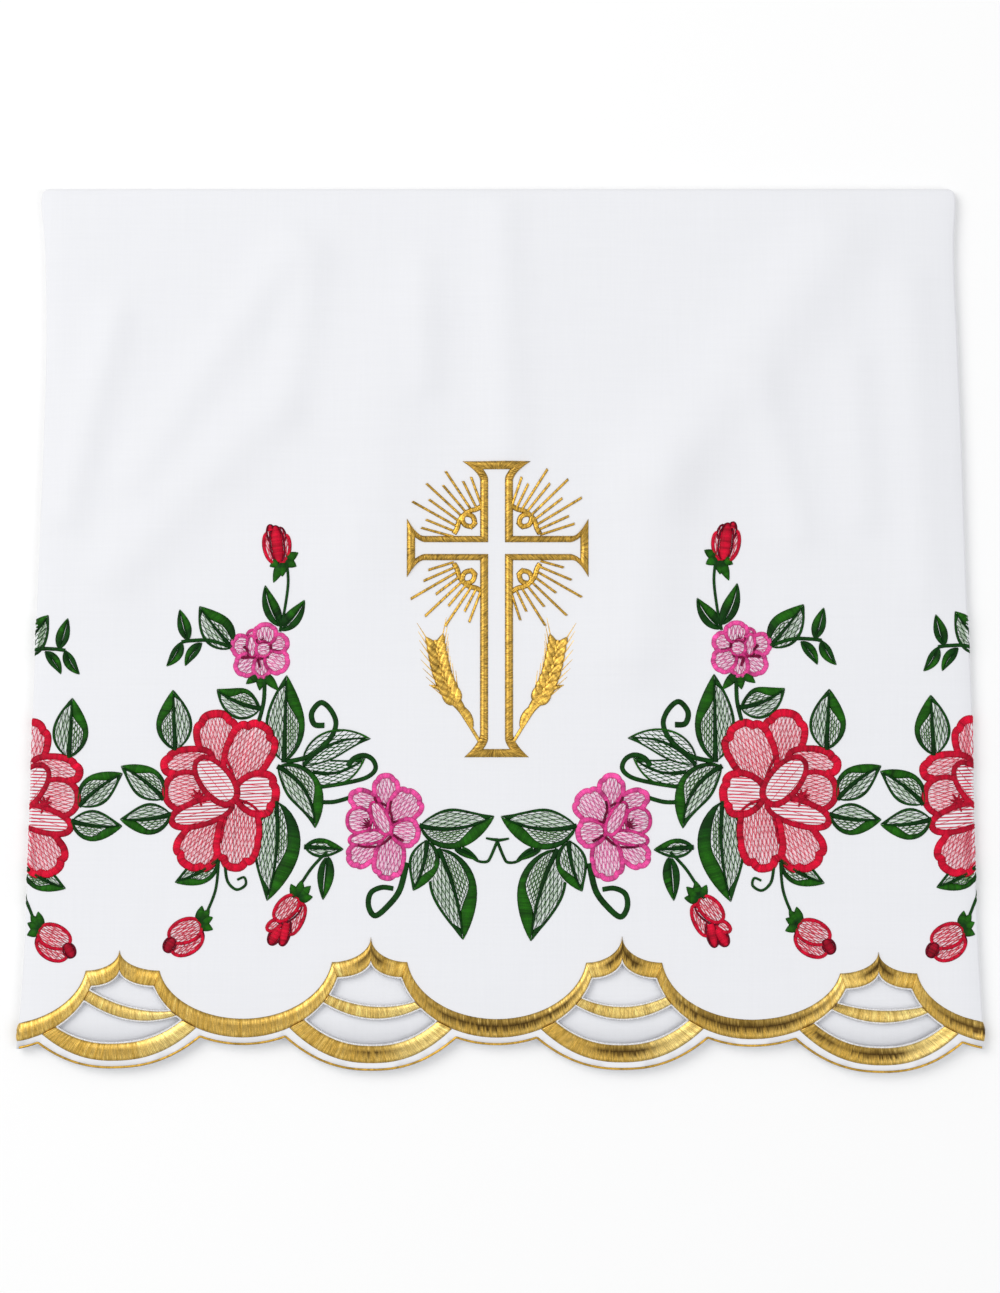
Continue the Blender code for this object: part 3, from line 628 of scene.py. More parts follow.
def shoulder(arch, side, inset=SHOULDER_INSET, drop=SHOULDER_DROP):
    """Corner of an arch's upper opening, which lies in from its shoulder and below it."""
    out = (arch.left if side < 0 else arch.right) - inset
    return arch.x + side * out, arch.shoulder - drop


def swag_beside(index, side):
    return SWAGS[index if side < 0 else index + 1]


def lower_edge(index, side, x, grow=0.0):
    """Height at x of the swag's lower gold edge beside an arch."""
    swag = swag_beside(index, side)
    return swag_y(x, swag.x, swag.bottom, *shoulder(ARCHES[index], side), INNER_RISE, grow)


def along_swag(index, side, xs, grow=0.0):
    """A swag's lower gold edge at each x."""
    return [(x, lower_edge(index, side, x, grow)) for x in xs]


def upper_half(index, side):
    """Upper gold edge from the bottom of a shoulder's swag to that shoulder."""
    swag = swag_beside(index, side)
    end_x, end_y = shoulder(ARCHES[index], side, 0, 0)
    tall = end_y + UPPER_RISE - swag.top
    last = acos(UPPER_RISE / tall)
    wide = (end_x - swag.x) / sin(last)
    return [(swag.x + wide * sin(t), swag.top + tall * (1 - cos(t))) for t in spread(0.0, last, SWAG_STEPS)]


def peak_curve(foot, tip, steps):
    """Hollow curve from a shoulder to a peak."""
    curve = [
        (foot[0] + (tip[0] - foot[0]) * sin(t), tip[1] - (tip[1] - foot[1]) * cos(t))
        for t in spread(0.0, pi / 2, steps)[1:]
    ]
    return [foot] + curve


def sagging(left, right, bottom_y, steps, fullness):
    """Curve that sags between two points, with its lowest height at bottom_y."""
    points = []
    sag = (left[1] + right[1]) / 2 - bottom_y
    for t in spread(0.0, 1.0, steps):
        x, y = mixed(left, right, t)
        points.append((x, y - sag * (1 - abs(2 * t - 1) ** fullness)))
    return points


def end_on_swag(index, side, share, grow=0.0):
    """Point of a swag's lower edge at a share of the arch's half width."""
    x = ARCHES[index].x + side * ARCHES[index].half * share
    return x, lower_edge(index, side, x, grow)


def bar_edge(index, up, steps=BAR_STEPS):
    """Upper or lower edge of an arch's bar, where up is 1 or -1."""
    arch = ARCHES[index]
    left = end_on_swag(index, -1, arch.bar_left - up * BAR_END)
    right = end_on_swag(index, 1, arch.bar_right - up * BAR_END)
    return sagging(left, right, arch.bar + (BAR_BAND if up > 0 else 0.0), steps, BAR_FULLNESS)


def scallop_edge(index, share, rise, grow=0.0):
    """Edge of an arch's scallop, rise above its hem, that meets the swags at a share."""
    ends = (end_on_swag(index, side, share, grow) for side in (-1, 1))
    return sagging(*ends, ARCHES[index].hem + rise, SCALLOP_STEPS, SCALLOP_FULLNESS)


def swag_side(index, side, start, end):
    """Lower swag edge between two points of it, without them."""
    return along_swag(index, side, spread(start[0], end[0], SIDE_STEPS)[1:-1])


def upper_window(index):
    """Opening between an arch's peak and its bar."""
    arch = ARCHES[index]
    bar = bar_edge(index, 1)
    left, right = (
        peak_curve(shoulder(arch, side), (arch.x, arch.window), PEAK_STEPS) for side in (-1, 1)
    )
    outline = left + right[-2::-1] + swag_side(index, 1, right[0], bar[-1])
    outline += bar[::-1] + swag_side(index, -1, bar[0], left[0])
    return outline[::-1]


def lower_window(index):
    """Opening between an arch's bar and its scallop."""
    bar = bar_edge(index, -1)
    scallop = scallop_edge(index, SCALLOP_END, HEM_MARGIN + SCALLOP_BAND)
    outline = bar + swag_side(index, 1, bar[-1], scallop[-1])
    outline += scallop[::-1] + swag_side(index, -1, scallop[0], bar[0])
    return outline[::-1]


def windows():
    """Outlines of the openings, from left to right."""
    return [make(index) for index in range(len(ARCHES)) for make in (upper_window, lower_window)]


def lower_line(cusp, rise, grow, left_x, right_x):
    """The border's lower line from left_x to right_x: scallops at the arches, swags between.

    cusp is the part of an arch's half width at which they meet, rise the height above the
    hem and grow the distance below the gold swags.
    """
    line = []
    start_x = left_x
    for index in range(len(ARCHES)):
        scallop = scallop_edge(index, cusp, rise, grow)
        end_x = scallop[0][0]
        if index == 0:
            line += along_swag(0, -1, spread(start_x, end_x, END_STEPS), grow)
        else:
            middle = SWAGS[index].x
            line += along_swag(index - 1, 1, spread(start_x, middle, MIDDLE_STEPS)[1:], grow)
            line += along_swag(index, -1, spread(middle, end_x, MIDDLE_STEPS)[1:], grow)
        line += scallop[1:]
        start_x = scallop[-1][0]
    return line + along_swag(len(ARCHES) - 1, 1, spread(start_x, right_x, END_STEPS)[1:], grow)


def flap_edge_u(v, side):
    """Pattern place of the flap's free edge."""
    start = crease(v, side)
    return side * (start + SIDE_BEND_RUN + start - FLAP_EDGE_X)


BACK_V = FOLD_AXIS_Y + pi * FRONT_REACH
BACK_HEM_V = BACK_V + FOLD_AXIS_Y - BACK_HEM_Y


def crease_columns(v, side):
    """Pattern places across one side fold at height v, outwards."""
    start = crease(v, side)
    return [side * u for u in spread(start, start + SIDE_BEND_RUN, BEND_STEPS)]


def fold_x(side):
    """Where the worked border reaches a side fold."""
    return side * crease(SWAGS[0 if side < 0 else -1].bottom, side)


def hem_at_fold(side):
    index = 0 if side < 0 else len(ARCHES) - 1
    return lower_edge(index, side, fold_x(side), HEM_MARGIN)


def flap_hem(hem, side):
    """Hem of the front's side flap, a little inside the front's own, from fold to free edge."""
    points = []
    for x, y in hem[1:-1:2]:
        v = y + FLAP_INSET
        start = crease(v, side)
        if FLAP_EDGE_X + SHORTEST_STEP < side * x < start - FLAP_INSET:
            points.append((side * (2 * start + SIDE_BEND_RUN) - x, v))
    return points[::-side]


def pattern_outline():
    """Outline of the whole flat pattern, anticlockwise from the left end of the front hem."""
    left_hem, right_hem = hem_at_fold(-1), hem_at_fold(1)
    hem = lower_line(1.0, 0.0, HEM_MARGIN, fold_x(-1), fold_x(1))
    outline = hem[1:-1]
    outline += [(u, right_hem) for u in crease_columns(right_hem, 1)]
    outline += flap_hem(hem, 1)
    rows = spread(SWAGS[2].bottom, FOLD_AXIS_Y, FLAP_STEPS)
    rows += spread(FOLD_AXIS_Y, BACK_V, BEND_STEPS)[1:-1]
    rows += spread(BACK_V, BACK_HEM_V, FLAP_STEPS)
    outline += [(flap_edge_u(v, 1), v) for v in rows]
    outline += [(u, BACK_HEM_V) for u in reversed(crease_columns(BACK_HEM_V, 1))]
    outline += [(u, BACK_HEM_V) for u in crease_columns(BACK_HEM_V, -1)]
    outline += [(flap_edge_u(v, -1), v) for v in reversed(rows)]
    outline += flap_hem(hem, -1)[::-1]
    outline += [(u, left_hem) for u in reversed(crease_columns(left_hem, -1))]
    return outline


def inside(point, outline):
    """Whether a point lies inside a closed outline."""
    within = False
    for (x0, y0), (x1, y1) in zip(outline, outline[1:] + outline[:1]):
        if (y0 > point[1]) != (y1 > point[1]):
            if point[0] < x0 + (point[1] - y0) / (y1 - y0) * (x1 - x0):
                within = not within
    return within


def fold_lines():
    """Lines that the sheet bends along: down its side folds, and across its top fold."""
    rows = spread(LOWEST_ROW, FOLD_AXIS_Y - ABOVE_ROWS, CREASE_ROWS)
    bend_rows = spread(FOLD_AXIS_Y, BACK_V, BEND_STEPS)
    rows += [FOLD_AXIS_Y - BESIDE_TOP] + bend_rows + [BACK_V + BESIDE_TOP]
    rows += spread(BACK_V + BELOW_BACK, BACK_HEM_V, CREASE_BACK_ROWS)
    lines = []
    for side in (-1, 1):
        heights = [hem_at_fold(side)] + rows
        grid = [crease_columns(v, side) for v in heights]
        for column in range(BEND_STEPS + 1):
            lines.append([(us[column], v) for us, v in zip(grid, heights)])
    for v in bend_rows:
        left = crease_columns(v, -1)
        right = crease_columns(v, 1)
        across = spread(flap_edge_u(v, -1), left[-1], TOP_FLAP_COLUMNS)[:-1] + left[::-1]
        across += spread(left[0], right[0], TOP_COLUMNS)[1:-1] + right
        across += spread(right[-1], flap_edge_u(v, 1), TOP_FLAP_COLUMNS)[1:]
        lines.append([(u, v) for u in across])
    return lines


def cross_outline(inner):
    """Outline of the cross, anticlockwise: its outer edge, or the inner edge of its band."""
    outline = []
    halves = [arm.inner_half if inner else arm.half for arm in CROSS_ARMS]
    for index, arm in enumerate(CROSS_ARMS):
        half = halves[index]
        reach = arm.reach - (CROSS_END_BAND if inner else 0.0)
        run = INNER_FLARE_RUN if inner else arm.flare_run
        flare = INNER_FLARE if inner else arm.flare - arm.half
        side = [
            (reach - run + run * t, -half - flare * t**FLARE_CURVE) for t in spread(0.0, 1.0, FLARE_STEPS)
        ]
        points = [(halves[index - 1], -half)] + side + [(s, -t) for s, t in reversed(side)]
        outline += [turned(s, t, arm.turn, CROSS_CENTRE) for s, t in points]
    return outline


def turned(s, t, angle, centre):
    """The place that lies s along a direction and t to its left from a centre."""
    return centre[0] + s * cos(angle) - t * sin(angle), centre[1] + s * sin(angle) + t * cos(angle)


def way(start, end):
    """Length of the way from start to end, and its direction."""
    length = hypot(end[0] - start[0], end[1] - start[1])
    return length, (end[0] - start[0]) / length, (end[1] - start[1]) / length


class Work:
    """Stitches of one piece, drawn on the flat cloth in metres."""

    def __init__(self, seed):
        self.corners = []
        self.faces = []
        self.colours = []
        self.draws = random.Random(seed)
        self.group = GROUPS[0]

    def at(self, place):
        group = self.group
        x, y = place
        return group.mirror * group.wide * x + group.lean * y + group.shift, group.tall * y + group.rise

    def kept(self, place):
        """Whether a place is on the face, not far round a side fold."""
        u, v = self.at(place)
        return abs(u) < crease(v, copysign(1, u)) + SIDE_BEND_RUN

    def ring(self, points, heights, colours):
        first = len(self.corners)
        for point, height, colour in zip(points, heights, colours):
            u, v = self.at(point)
            self.corners.append(folded(u, v, SHEET_TOP + height))
            self.colours.append(colour)
        return list(range(first, first + len(points)))

    def skin(self, rings):
        """Close a run of rings into one form."""
        if len(rings) < 2:
            return
        count = len(rings[0])
        for near, far in zip(rings, rings[1:]):
            for k in range(count):
                n = (k + 1) % count
                self.faces.append((near[k], near[n], far[n], far[k]))
        self.faces.append(tuple(reversed(rings[0])))
        self.faces.append(tuple(rings[-1]))


def lengths(points):
    run = [0.0]
    for (x0, y0), (x1, y1) in zip(points, points[1:]):
        run.append(run[-1] + hypot(x1 - x0, y1 - y0))
    return run


def sampled(points, run, length):
    """Point of a line at a length along it."""
    index = clamped(bisect_right(run, length) - 1, 0, len(run) - 2)
    span = run[index + 1] - run[index]
    t = 0.0 if span == 0 else clamped((length - run[index]) / span)
    return mixed(points[index], points[index + 1], t)


def evened(points, count):
    run = lengths(points)
    return [sampled(points, run, run[-1] * i / count) for i in range(count + 1)]


def smooth(points, per_span=8):
    """Smooth line through points."""
    line = []
    last = len(points) - 1
    for i in range(last):
        near = list(zip(points[max(i - 1, 0)], points[i], points[i + 1], points[min(i + 2, last)]))
        for t in (k / per_span for k in range(per_span)):
            line.append(tuple(
                0.5 * (2 * b + (c - a) * t + (2 * a - 5 * b + 4 * c - d) * t * t
                       + (3 * b - a - 3 * c + d) * t**3)
                for a, b, c, d in near
            ))
    return line + [points[-1]]


def both_sides(line, half):
    """The lines to the left and right of a line, half being their distance at each point."""
    found = [], []
    pairs = zip(line[:1] + line, line[1:] + line[-1:])
    for (x, y), ((x0, y0), (x1, y1)), away in zip(line, pairs, half):
        size = hypot(x1 - x0, y1 - y0) or 1.0
        nx, ny = -(y1 - y0) / size * away, (x1 - x0) / size * away
        found[0].append((x + nx, y + ny))
        found[1].append((x - nx, y - ny))
    return found


def box_of(outline):
    xs = [x for x, _ in outline]
    ys = [y for _, y in outline]
    return min(xs), min(ys), max(xs), max(ys)


def covered(place, covers):
    x, y = place
    for (x0, y0, x1, y1), outline in covers:
        if x0 < x < x1 and y0 < y < y1 and inside(place, outline):
            return True
    return False


def satin(work, left, right, colour, height, pitch, across=3, edge=0.8, covers=(), slant=0.0, vary=0.13,
          shine=None, drift_kept=DRIFT_KEPT, fleck=0.0):
    """Satin stitches side by side between two edge lines, as one padded, ribbed form, with painted shade:
    valley rows darker, rims darker by edge; shine adds painted reflections.
    """
    run = lengths([mixed(a, b, 0.5) for a, b in zip(left, right)])
    total = run[-1]
    if total < pitch:
        return
    steps = 2 * max(2, round(total / pitch))
    shares = [0.5 - 0.5 * cos(pi * k / across) for k in range(across + 1)]
    rings = []
    drift = 0.0
    for row in range(steps + 1):
        length = total * row / steps
        crest = row % 2
        reach = work.draws.uniform(0.0, STITCH_JITTER) if crest else -STITCH_JITTER / 2
        drift = drift_kept * drift + work.draws.gauss(0, vary)
        # Painted shade: the valley rows darker than the crests
        tone = (1 + drift) * (1.0 if crest else VALLEY_SHADE)
        ink = colour(length / total) if callable(colour) else colour
        a = sampled(left, run, length + slant)
        b = sampled(right, run, length - slant)
        centre = mixed(a, b, 0.5)
        if not work.kept(centre) or covered(centre, covers):
            work.skin(rings)
            rings = []
            continue
        size = hypot(b[0] - a[0], b[1] - a[1]) or SHORTEST_STITCH
        grow = reach / size
        heading = atan2(a[0] - b[0], b[1] - a[1])
        top = min(height, size * STEEPEST) * (1.0 if crest else VALLEY_HEIGHT)
        points, heights, colours = [], [], []
        for k, share in enumerate(shares):
            points.append(mixed(a, b, share * (1 + 2 * grow) - grow))
            heights.append(sin(pi * share) ** PADDING * top - THREAD_SINK)
            # Painted shade at the rims, where the stitches sink into the linen, darker by edge
            rim = min(k, across - k)
            dim = tone * (edge if rim == 0 else (1 + edge) / 2 if rim == 1 and across > 3 else 1.0)
            dim *= clamped(1 + work.draws.gauss(0, fleck), DARKEST_FLECK, PALEST_FLECK)
            toned = shine(ink, centre[0], heading, share, drift) if shine else ink
            colours.append(tuple(c * dim for c in toned))
        rings.append(work.ring(points, heights, colours))
    work.skin(rings)


def line_stitch(work, line, colour, width, taper=0.0, **more):
    """Satin along a centre line, thinner at its end by taper."""
    count = len(line) - 1
    half = [width / 2 * (1 - taper * i / count) for i in range(len(line))]
    satin(work, *both_sides(line, half), colour, **more)


def crossings(start, direction, outline):
    """Lengths along a line at which it crosses an outline."""
    found = []
    dx, dy = direction
    for (x0, y0), (x1, y1) in zip(outline, outline[1:] + outline[:1]):
        d0 = (x0 - start[0]) * dy - (y0 - start[1]) * dx
        d1 = (x1 - start[0]) * dy - (y1 - start[1]) * dx
        if (d0 > 0) != (d1 > 0):
            x, y = mixed((x0, y0), (x1, y1), d0 / (d0 - d1))
            found.append((x - start[0]) * dx + (y - start[1]) * dy)
    found.sort()
    return list(zip(found[::2], found[1::2]))


def without(spans, holes):
    """Spans less the parts that lie in the holes."""
    for low, high in holes:
        cut = []
        for start, end in spans:
            if high <= start or low >= end:
                cut.append((start, end))
                continue
            if low > start:
                cut.append((start, low))
            if high < end:
                cut.append((high, end))
        spans = cut
    return spans


def thread(work, start, end, width, height, first, last):
    """One laid thread, coloured from first to last, with painted shade on its sunk sides."""
    if hypot(end[0] - start[0], end[1] - start[1]) < SHORTEST_THREAD * width:
        return
    size, ux, uy = way(start, end)
    fold_gap = min(crease(v, u) - abs(u) for u, v in (work.at(start), work.at(end)))
    steps = max(2, ceil(size / (THREAD_STEP if fold_gap > SIDE_BEND_RUN else THREAD_STEP_AT_FOLD)))
    rings = []
    for i in range(steps + 1):
        x, y = mixed(start, end, i / steps)
        if not work.kept((x, y)):
            work.skin(rings)
            rings = []
            continue
        half = width / 2 * (0.5 if i in (0, steps) else 1.0)
        colour = mixed(first, last, i / steps)
        points = [(x - uy * s, y + ux * s) for s in (-half, 0.0, half)]
        # Painted shade on the thread's sunk sides
        low = tuple(c * VALLEY_SHADE for c in colour)
        rings.append(work.ring(points, (-THREAD_SINK, height, -THREAD_SINK), (low, colour, low)))
    work.skin(rings)


def hatch(work, region, turn, near, far, axis, covers, pitch, width, height):
    """Open rows of thread that fill a region, coloured along an axis from near to far."""
    direction = cos(turn), sin(turn)
    across = -direction[1], direction[0]
    ranks = [x * across[0] + y * across[1] for x, y in region]
    (x0, y0), (x1, y1) = axis
    size2 = (x1 - x0) ** 2 + (y1 - y0) ** 2
    rank = min(ranks) + pitch / 2
    while rank < max(ranks):
        start = across[0] * rank, across[1] * rank
        spans = crossings(start, direction, region)
        for _, outline in covers:
            spans = without(spans, crossings(start, direction, outline))
        for span in spans:
            ends = [(start[0] + direction[0] * s, start[1] + direction[1] * s) for s in span]
            shares = [((x - x0) * (x1 - x0) + (y - y0) * (y1 - y0)) / size2 for x, y in ends]
            tone = 1 + work.draws.gauss(0, ROW_VARY)
            inks = [[c * tone for c in mixed(near, far, clamped(s))] for s in shares]
            thread(work, *ends, width, height, *inks)
        rank += pitch * work.draws.uniform(*ROW_JITTER)


def egg(base, tip, width, lobes=0, count=EGG_STEPS, full=0.14):
    """Petal outline, anticlockwise, narrow at its base and full towards its tip."""
    length, ux, uy = way(base, tip)
    points = []
    for i in range(count):
        turn = 2 * pi * i / count
        s = 0.5 + 0.5 * cos(turn)
        notch = 1 - abs(cos(turn * lobes / 2)) if lobes else 0.0
        wave = 1 - LOBE_DEPTH * notch * notch * s
        along = length * s * wave
        bulge = copysign(abs(sin(turn)) ** EGG_POWER, sin(turn))
        out = width / 2 * bulge * (1 - full + 2 * full * s) / (1 + full * 0.15) * wave
        points.append((base[0] + ux * along - uy * out, base[1] + uy * along + ux * out))
    return points


def net(work, region, turn, near, far, axis, covers, lean, **more):
    """Two crossing sets of open rows."""
    for side in (lean, -lean):
        hatch(work, region, turn + side, near, far, axis, covers, **more)


def gold_painted_reflections(ink, u, heading, share, drift, flat_run):
    """The border's gold with painted reflections: a painted dark-brown reflection where its stitches turn
    away from the light, and a painted highlight where they face it.

    heading is the angle of the band there, and flat_run how far round the level its painted dark
    reflection reaches; a band without one gets a painted highlight all along.
    """
    lean = (heading + pi / 2) % pi - pi / 2
    flat = bell(lean, 0.0, flat_run) if flat_run else 0.0
    middle = clamped(1 + u / MIDDLE_RUN)
    right = clamped((u - RIGHT_START) / RIGHT_RUN)
    # Painted dark reflection, stronger right of the middle, away from the light; pale is the share of painted
    # highlight
    dark_reflection = (0.35 + 0.75 * middle) * flat + (0.20 + 0.70 * right) * bell(lean, *FALLING)
    dark_reflection *= 1.35 * bell(share, STREAK_PLACE + 0.4 * drift, STREAK_WIDTH) * (1 + 1.8 * drift)
    pale = 0.90 * bell(lean, *RISING) + (0.12 if flat_run else 0.55) + 1.2 * drift
    return mixed(mixed(ink, GOLD_HIGHLIGHT, clamped(pale)), GOLD_DARK_REFLECTION, clamped(dark_reflection, 0.0, DARKEST_GOLD))


def cross_painted_reflection(ink, u, heading, share, drift):
    """A painted dark reflection down the middle of the cross's bands."""
    return mixed(ink, GOLD_DARK_REFLECTION, clamped(CROSS_DARK_REFLECTION * bell(share, 0.5, 0.2) + 1.3 * drift, 0.0, 0.92))


def looped(outline):
    return outline + [outline[0], outline[1]]


def ringed(work, outline, colour, width, swell=0.0, **more):
    """Satin along a closed outline, wider by swell round its tip, which is its first point."""
    line = looped(outline)
    count = len(outline)
    half = [
        width / 2 * (1 + swell * (0.5 + 0.5 * cos(2 * pi * i / count)) ** 2) for i in range(len(line))
    ]
    satin(work, *both_sides(line, half), colour, **more)


def leaf_shape(leaf, steps=LEAF_STEPS):
    """Centre line, and left and right edges, of a leaf."""
    base, tip = (leaf.x0, leaf.y0), (leaf.x1, leaf.y1)
    length, ux, uy = way(base, tip)
    middle = []
    half = []
    for t in spread(0.0, 1.0, steps):
        x, y = mixed(base, tip, t)
        bow = leaf.bend * length * 4 * t * (1 - t)
        middle.append((x - uy * bow, y + ux * bow))
        half.append(leaf.width * LEAF_HALF * sin(pi * t**0.80) ** 0.9 + LEAF_TIP)
    return middle, *both_sides(middle, half)


def widening(low, start, t):
    """Share of a half leaf in solid satin: low at first, all of it at the tip."""
    rise = clamped((t - start) / (1 - start) * 1.7)
    return low + (1 - low) * rise * rise * (3 - 2 * rise)


def leaf_green(share):
    """The green of a leaf's heavy satin: dark, and brighter in its outer half."""
    return mixed(GREEN, GREEN_LIGHT, clamped((share - 0.28) / 0.25))


def draw_leaf(work, leaf, covers):
    """A leaf: two satin edges that meet in a solid tip, a vein, and open rows in its halves."""
    middle, left, right = leaf_shape(leaf)
    heavy, light = (left, right) if leaf.heavy > 0 else (right, left)
    shares = spread(0.0, 1.0, len(middle) - 1)
    axis = middle[0], middle[-1]
    turn = atan2(axis[1][1] - axis[0][1], axis[1][0] - axis[0][0])
    kind = LEAF_KINDS[leaf.style]

    def inwards(edge, rim_width, low, start):
        line = []
        for e, m, t in zip(edge, middle, shares):
            rim = min(1.0, rim_width / max(hypot(e[0] - m[0], e[1] - m[1]), rim_width))
            line.append(mixed(e, m, max(rim, widening(low, start, t))))
        return line

    heavy_in = inwards(heavy, kind.heavy_rim, kind.heavy_solid, kind.start)
    light_in = inwards(light, kind.light_rim, kind.light_solid, LIGHT_START)
    satin(work, heavy, heavy_in, leaf_green, covers=covers, **HEAVY_SATIN)
    satin(work, light, light_in, GREEN, covers=covers, **LIGHT_SATIN)
    line_stitch(work, middle[:-1], GREEN_DARK, kind.vein, covers=covers, **VEIN_ROPE)
    if leaf.style == "full":
        return
    halves = [line + middle[::-1] for line in (heavy_in, light_in)]
    if leaf.style == "bare":
        for half, net_rows in zip(halves, BARE_NETS):
            net(work, half, turn, GREEN_HATCH, GREEN_HATCH, axis, covers, **net_rows)
        return
    for half, ink, lean in zip(halves, (LEAF_DEEP, LEAF_PALE), LEAF_LEANS):
        hatch(work, half, turn + LEAF_ROW_TURN, ink, ink, axis, covers, **LEAF_ROWS)
        net(work, half, turn, LEAF_LINE, LEAF_LINE, axis, covers, lean, **LEAF_NET)


def filled(work, outline, turn, inks, axis, covers):
    """The pale filling of a petal: close rows from deep to pale, and thin rows that cross over them."""
    hatch(work, outline, turn + PETAL_ROW_TURN, inks.deep, inks.pale, axis, covers, **CLOSE_ROWS)
    net(work, outline, turn, inks.row, mixed(inks.row, inks.deep, 0.6), axis, covers, **PETAL_NET)


def draw_petal(work, petal, inks, covers):
    """A rose's petal: rows of thread, and a satin edge round all but a dark one."""
    axis = (petal.x0, petal.y0), (petal.x1, petal.y1)
    outline = egg(*axis, petal.width, petal.lobes, LOBED_STEPS if petal.lobes else EGG_STEPS, petal.full)
    turn = atan2(petal.y1 - petal.y0, petal.x1 - petal.x0)
    if petal.fill == "dark":
        hatch(work, outline, turn, inks.dark, inks.dark, axis, covers, **CLOSE_ROWS)
        return
    if petal.fill == "rows":
        hatch(work, outline, LEVEL_TURN, inks.row, inks.deep, axis, covers, **LEVEL_ROWS)
        hatch(work, outline, turn, inks.deep, inks.deep, axis, covers, **SPARSE_ROWS)
    else:
        filled(work, outline, turn, inks, axis, covers)

    def ink_at(share):
        dark = bell(share, 0.5, 0.25)
        return mixed(inks.edge, inks.dark, dark if petal.lobes else 0.6 + 0.4 * dark)

    ringed(work, outline, ink_at, inks.outer if petal.lobes else inks.inner, covers=covers, **PETAL_RIM)
    covers.append((box_of(outline), outline))


def draw_knot(work, knot, colour):
    """A dark knot: a fan of short tapering strokes."""
    centre = knot.x / 1000, knot.y / 1000
    for i, angle in enumerate(spread(knot.first, knot.last, knot.count - 1)):
        reach = knot.radius / 1000 * (1.0 if i % 2 else 0.8)
        line = evened([centre, turned(reach, 0, angle * pi / 180, centre)], SHORT_STEPS)
        line_stitch(work, line, colour, knot.width / 1000, **KNOT_ROPE)


def draw_bud(work, petals, covers):
    """A bud of folded petals: solid ones in satin, pale ones in open rows, each in a dark line."""
    for petal in petals:
        axis = (petal.x0, petal.y0), (petal.x1, petal.y1)
        outline, rim = (egg(*axis, petal.width + grow, full=BUD_FULL) for grow in (0.0, BUD_LINE))
        turn = atan2(petal.y1 - petal.y0, petal.x1 - petal.x0)
        ringed(work, rim, RED_LINE, 1.6 * BUD_LINE, covers=covers, **BUD_OUTLINE)
        if petal.fill == "pale":
            ringed(work, outline, mixed(RED, RED_DARK, 0.4), BUD_EDGE, covers=covers, **BUD_RIM)
            filled(work, outline, turn, BUD_INKS, axis, covers)
        else:
            half = len(outline) // 2
            colour = RED if petal.fill == "solid" else RED_DARK
            hatch(work, outline, turn, colour, colour, axis, covers, **CLOSE_ROWS)
            satin(work, outline[:half + 1], [outline[0]] + outline[:half - 1:-1], colour, covers=covers,
                  **BUD_SATIN)
        covers.append((box_of(rim), rim))


def scaled(row):
    """A flower's table row with its places and width turned from millimetres into metres."""
    names = ("x0", "y0", "x1", "y1", "width")
    return row._replace(**{name: getattr(row, name) / 1000 for name in names})


def in_metres(places):
    return [(x / 1000, y / 1000) for x, y in places]


def draw_flowers(red, pink, green, stems):
    """All the flower groups, the topmost forms of each drawn first."""
    for group in GROUPS:
        for work in (red, pink, green, stems):
            work.group = group
        covers = []
        knots = [(red, RED_DARK, [RED_KNOT]), (pink, MAGENTA_DARK, PINK_KNOTS)]
        for work, colour, found in knots:
            for knot in found:
                draw_knot(work, knot, colour)
        for work, colour, seams in ((red, RED_DARK, RED_SEAMS), (pink, MAGENTA_DARK, PINK_SEAMS)):
            for places in seams:
                line_stitch(work, smooth(in_metres(places)), colour, SEAM_WIDTH, **SEAM_ROPE)
        roses = [(red, RED_ROSE, RED_INKS), (pink, PINK_ROSE, PINK_INKS), (pink, SMALL_ROSE, SMALL_INKS)]
        for work, petals, inks in roses:
            for row in petals:
                draw_petal(work, scaled(row), inks, covers)
        for petals in (TOP_BUD, SIDE_BUD, LOW_BUD):
            draw_bud(red, [scaled(row) for row in petals], covers)
        for calyx in CALYXES:
            for tip in calyx.tips:
                leaf = scaled(Leaf(calyx.x, calyx.y, *tip, SEPAL_WIDTH, 0, 1, "full"))
                _, left, right = leaf_shape(leaf, SMALL_LEAF_STEPS)
                satin(green, left, right, leaf_green, covers=covers, **SEPAL_SATIN)
        for row in STEMS:
            line = smooth(in_metres(row.places))
            line_stitch(stems, line, GREEN, row.width / 1000, row.taper, covers=covers, **STEM_ROPE)
        for row in LEAVES:
            leaf = scaled(row)
            draw_leaf(green, leaf, covers)
            _, left, right = leaf_shape(leaf)
            outline = left + right[::-1]
            covers.append((box_of(outline), outline))


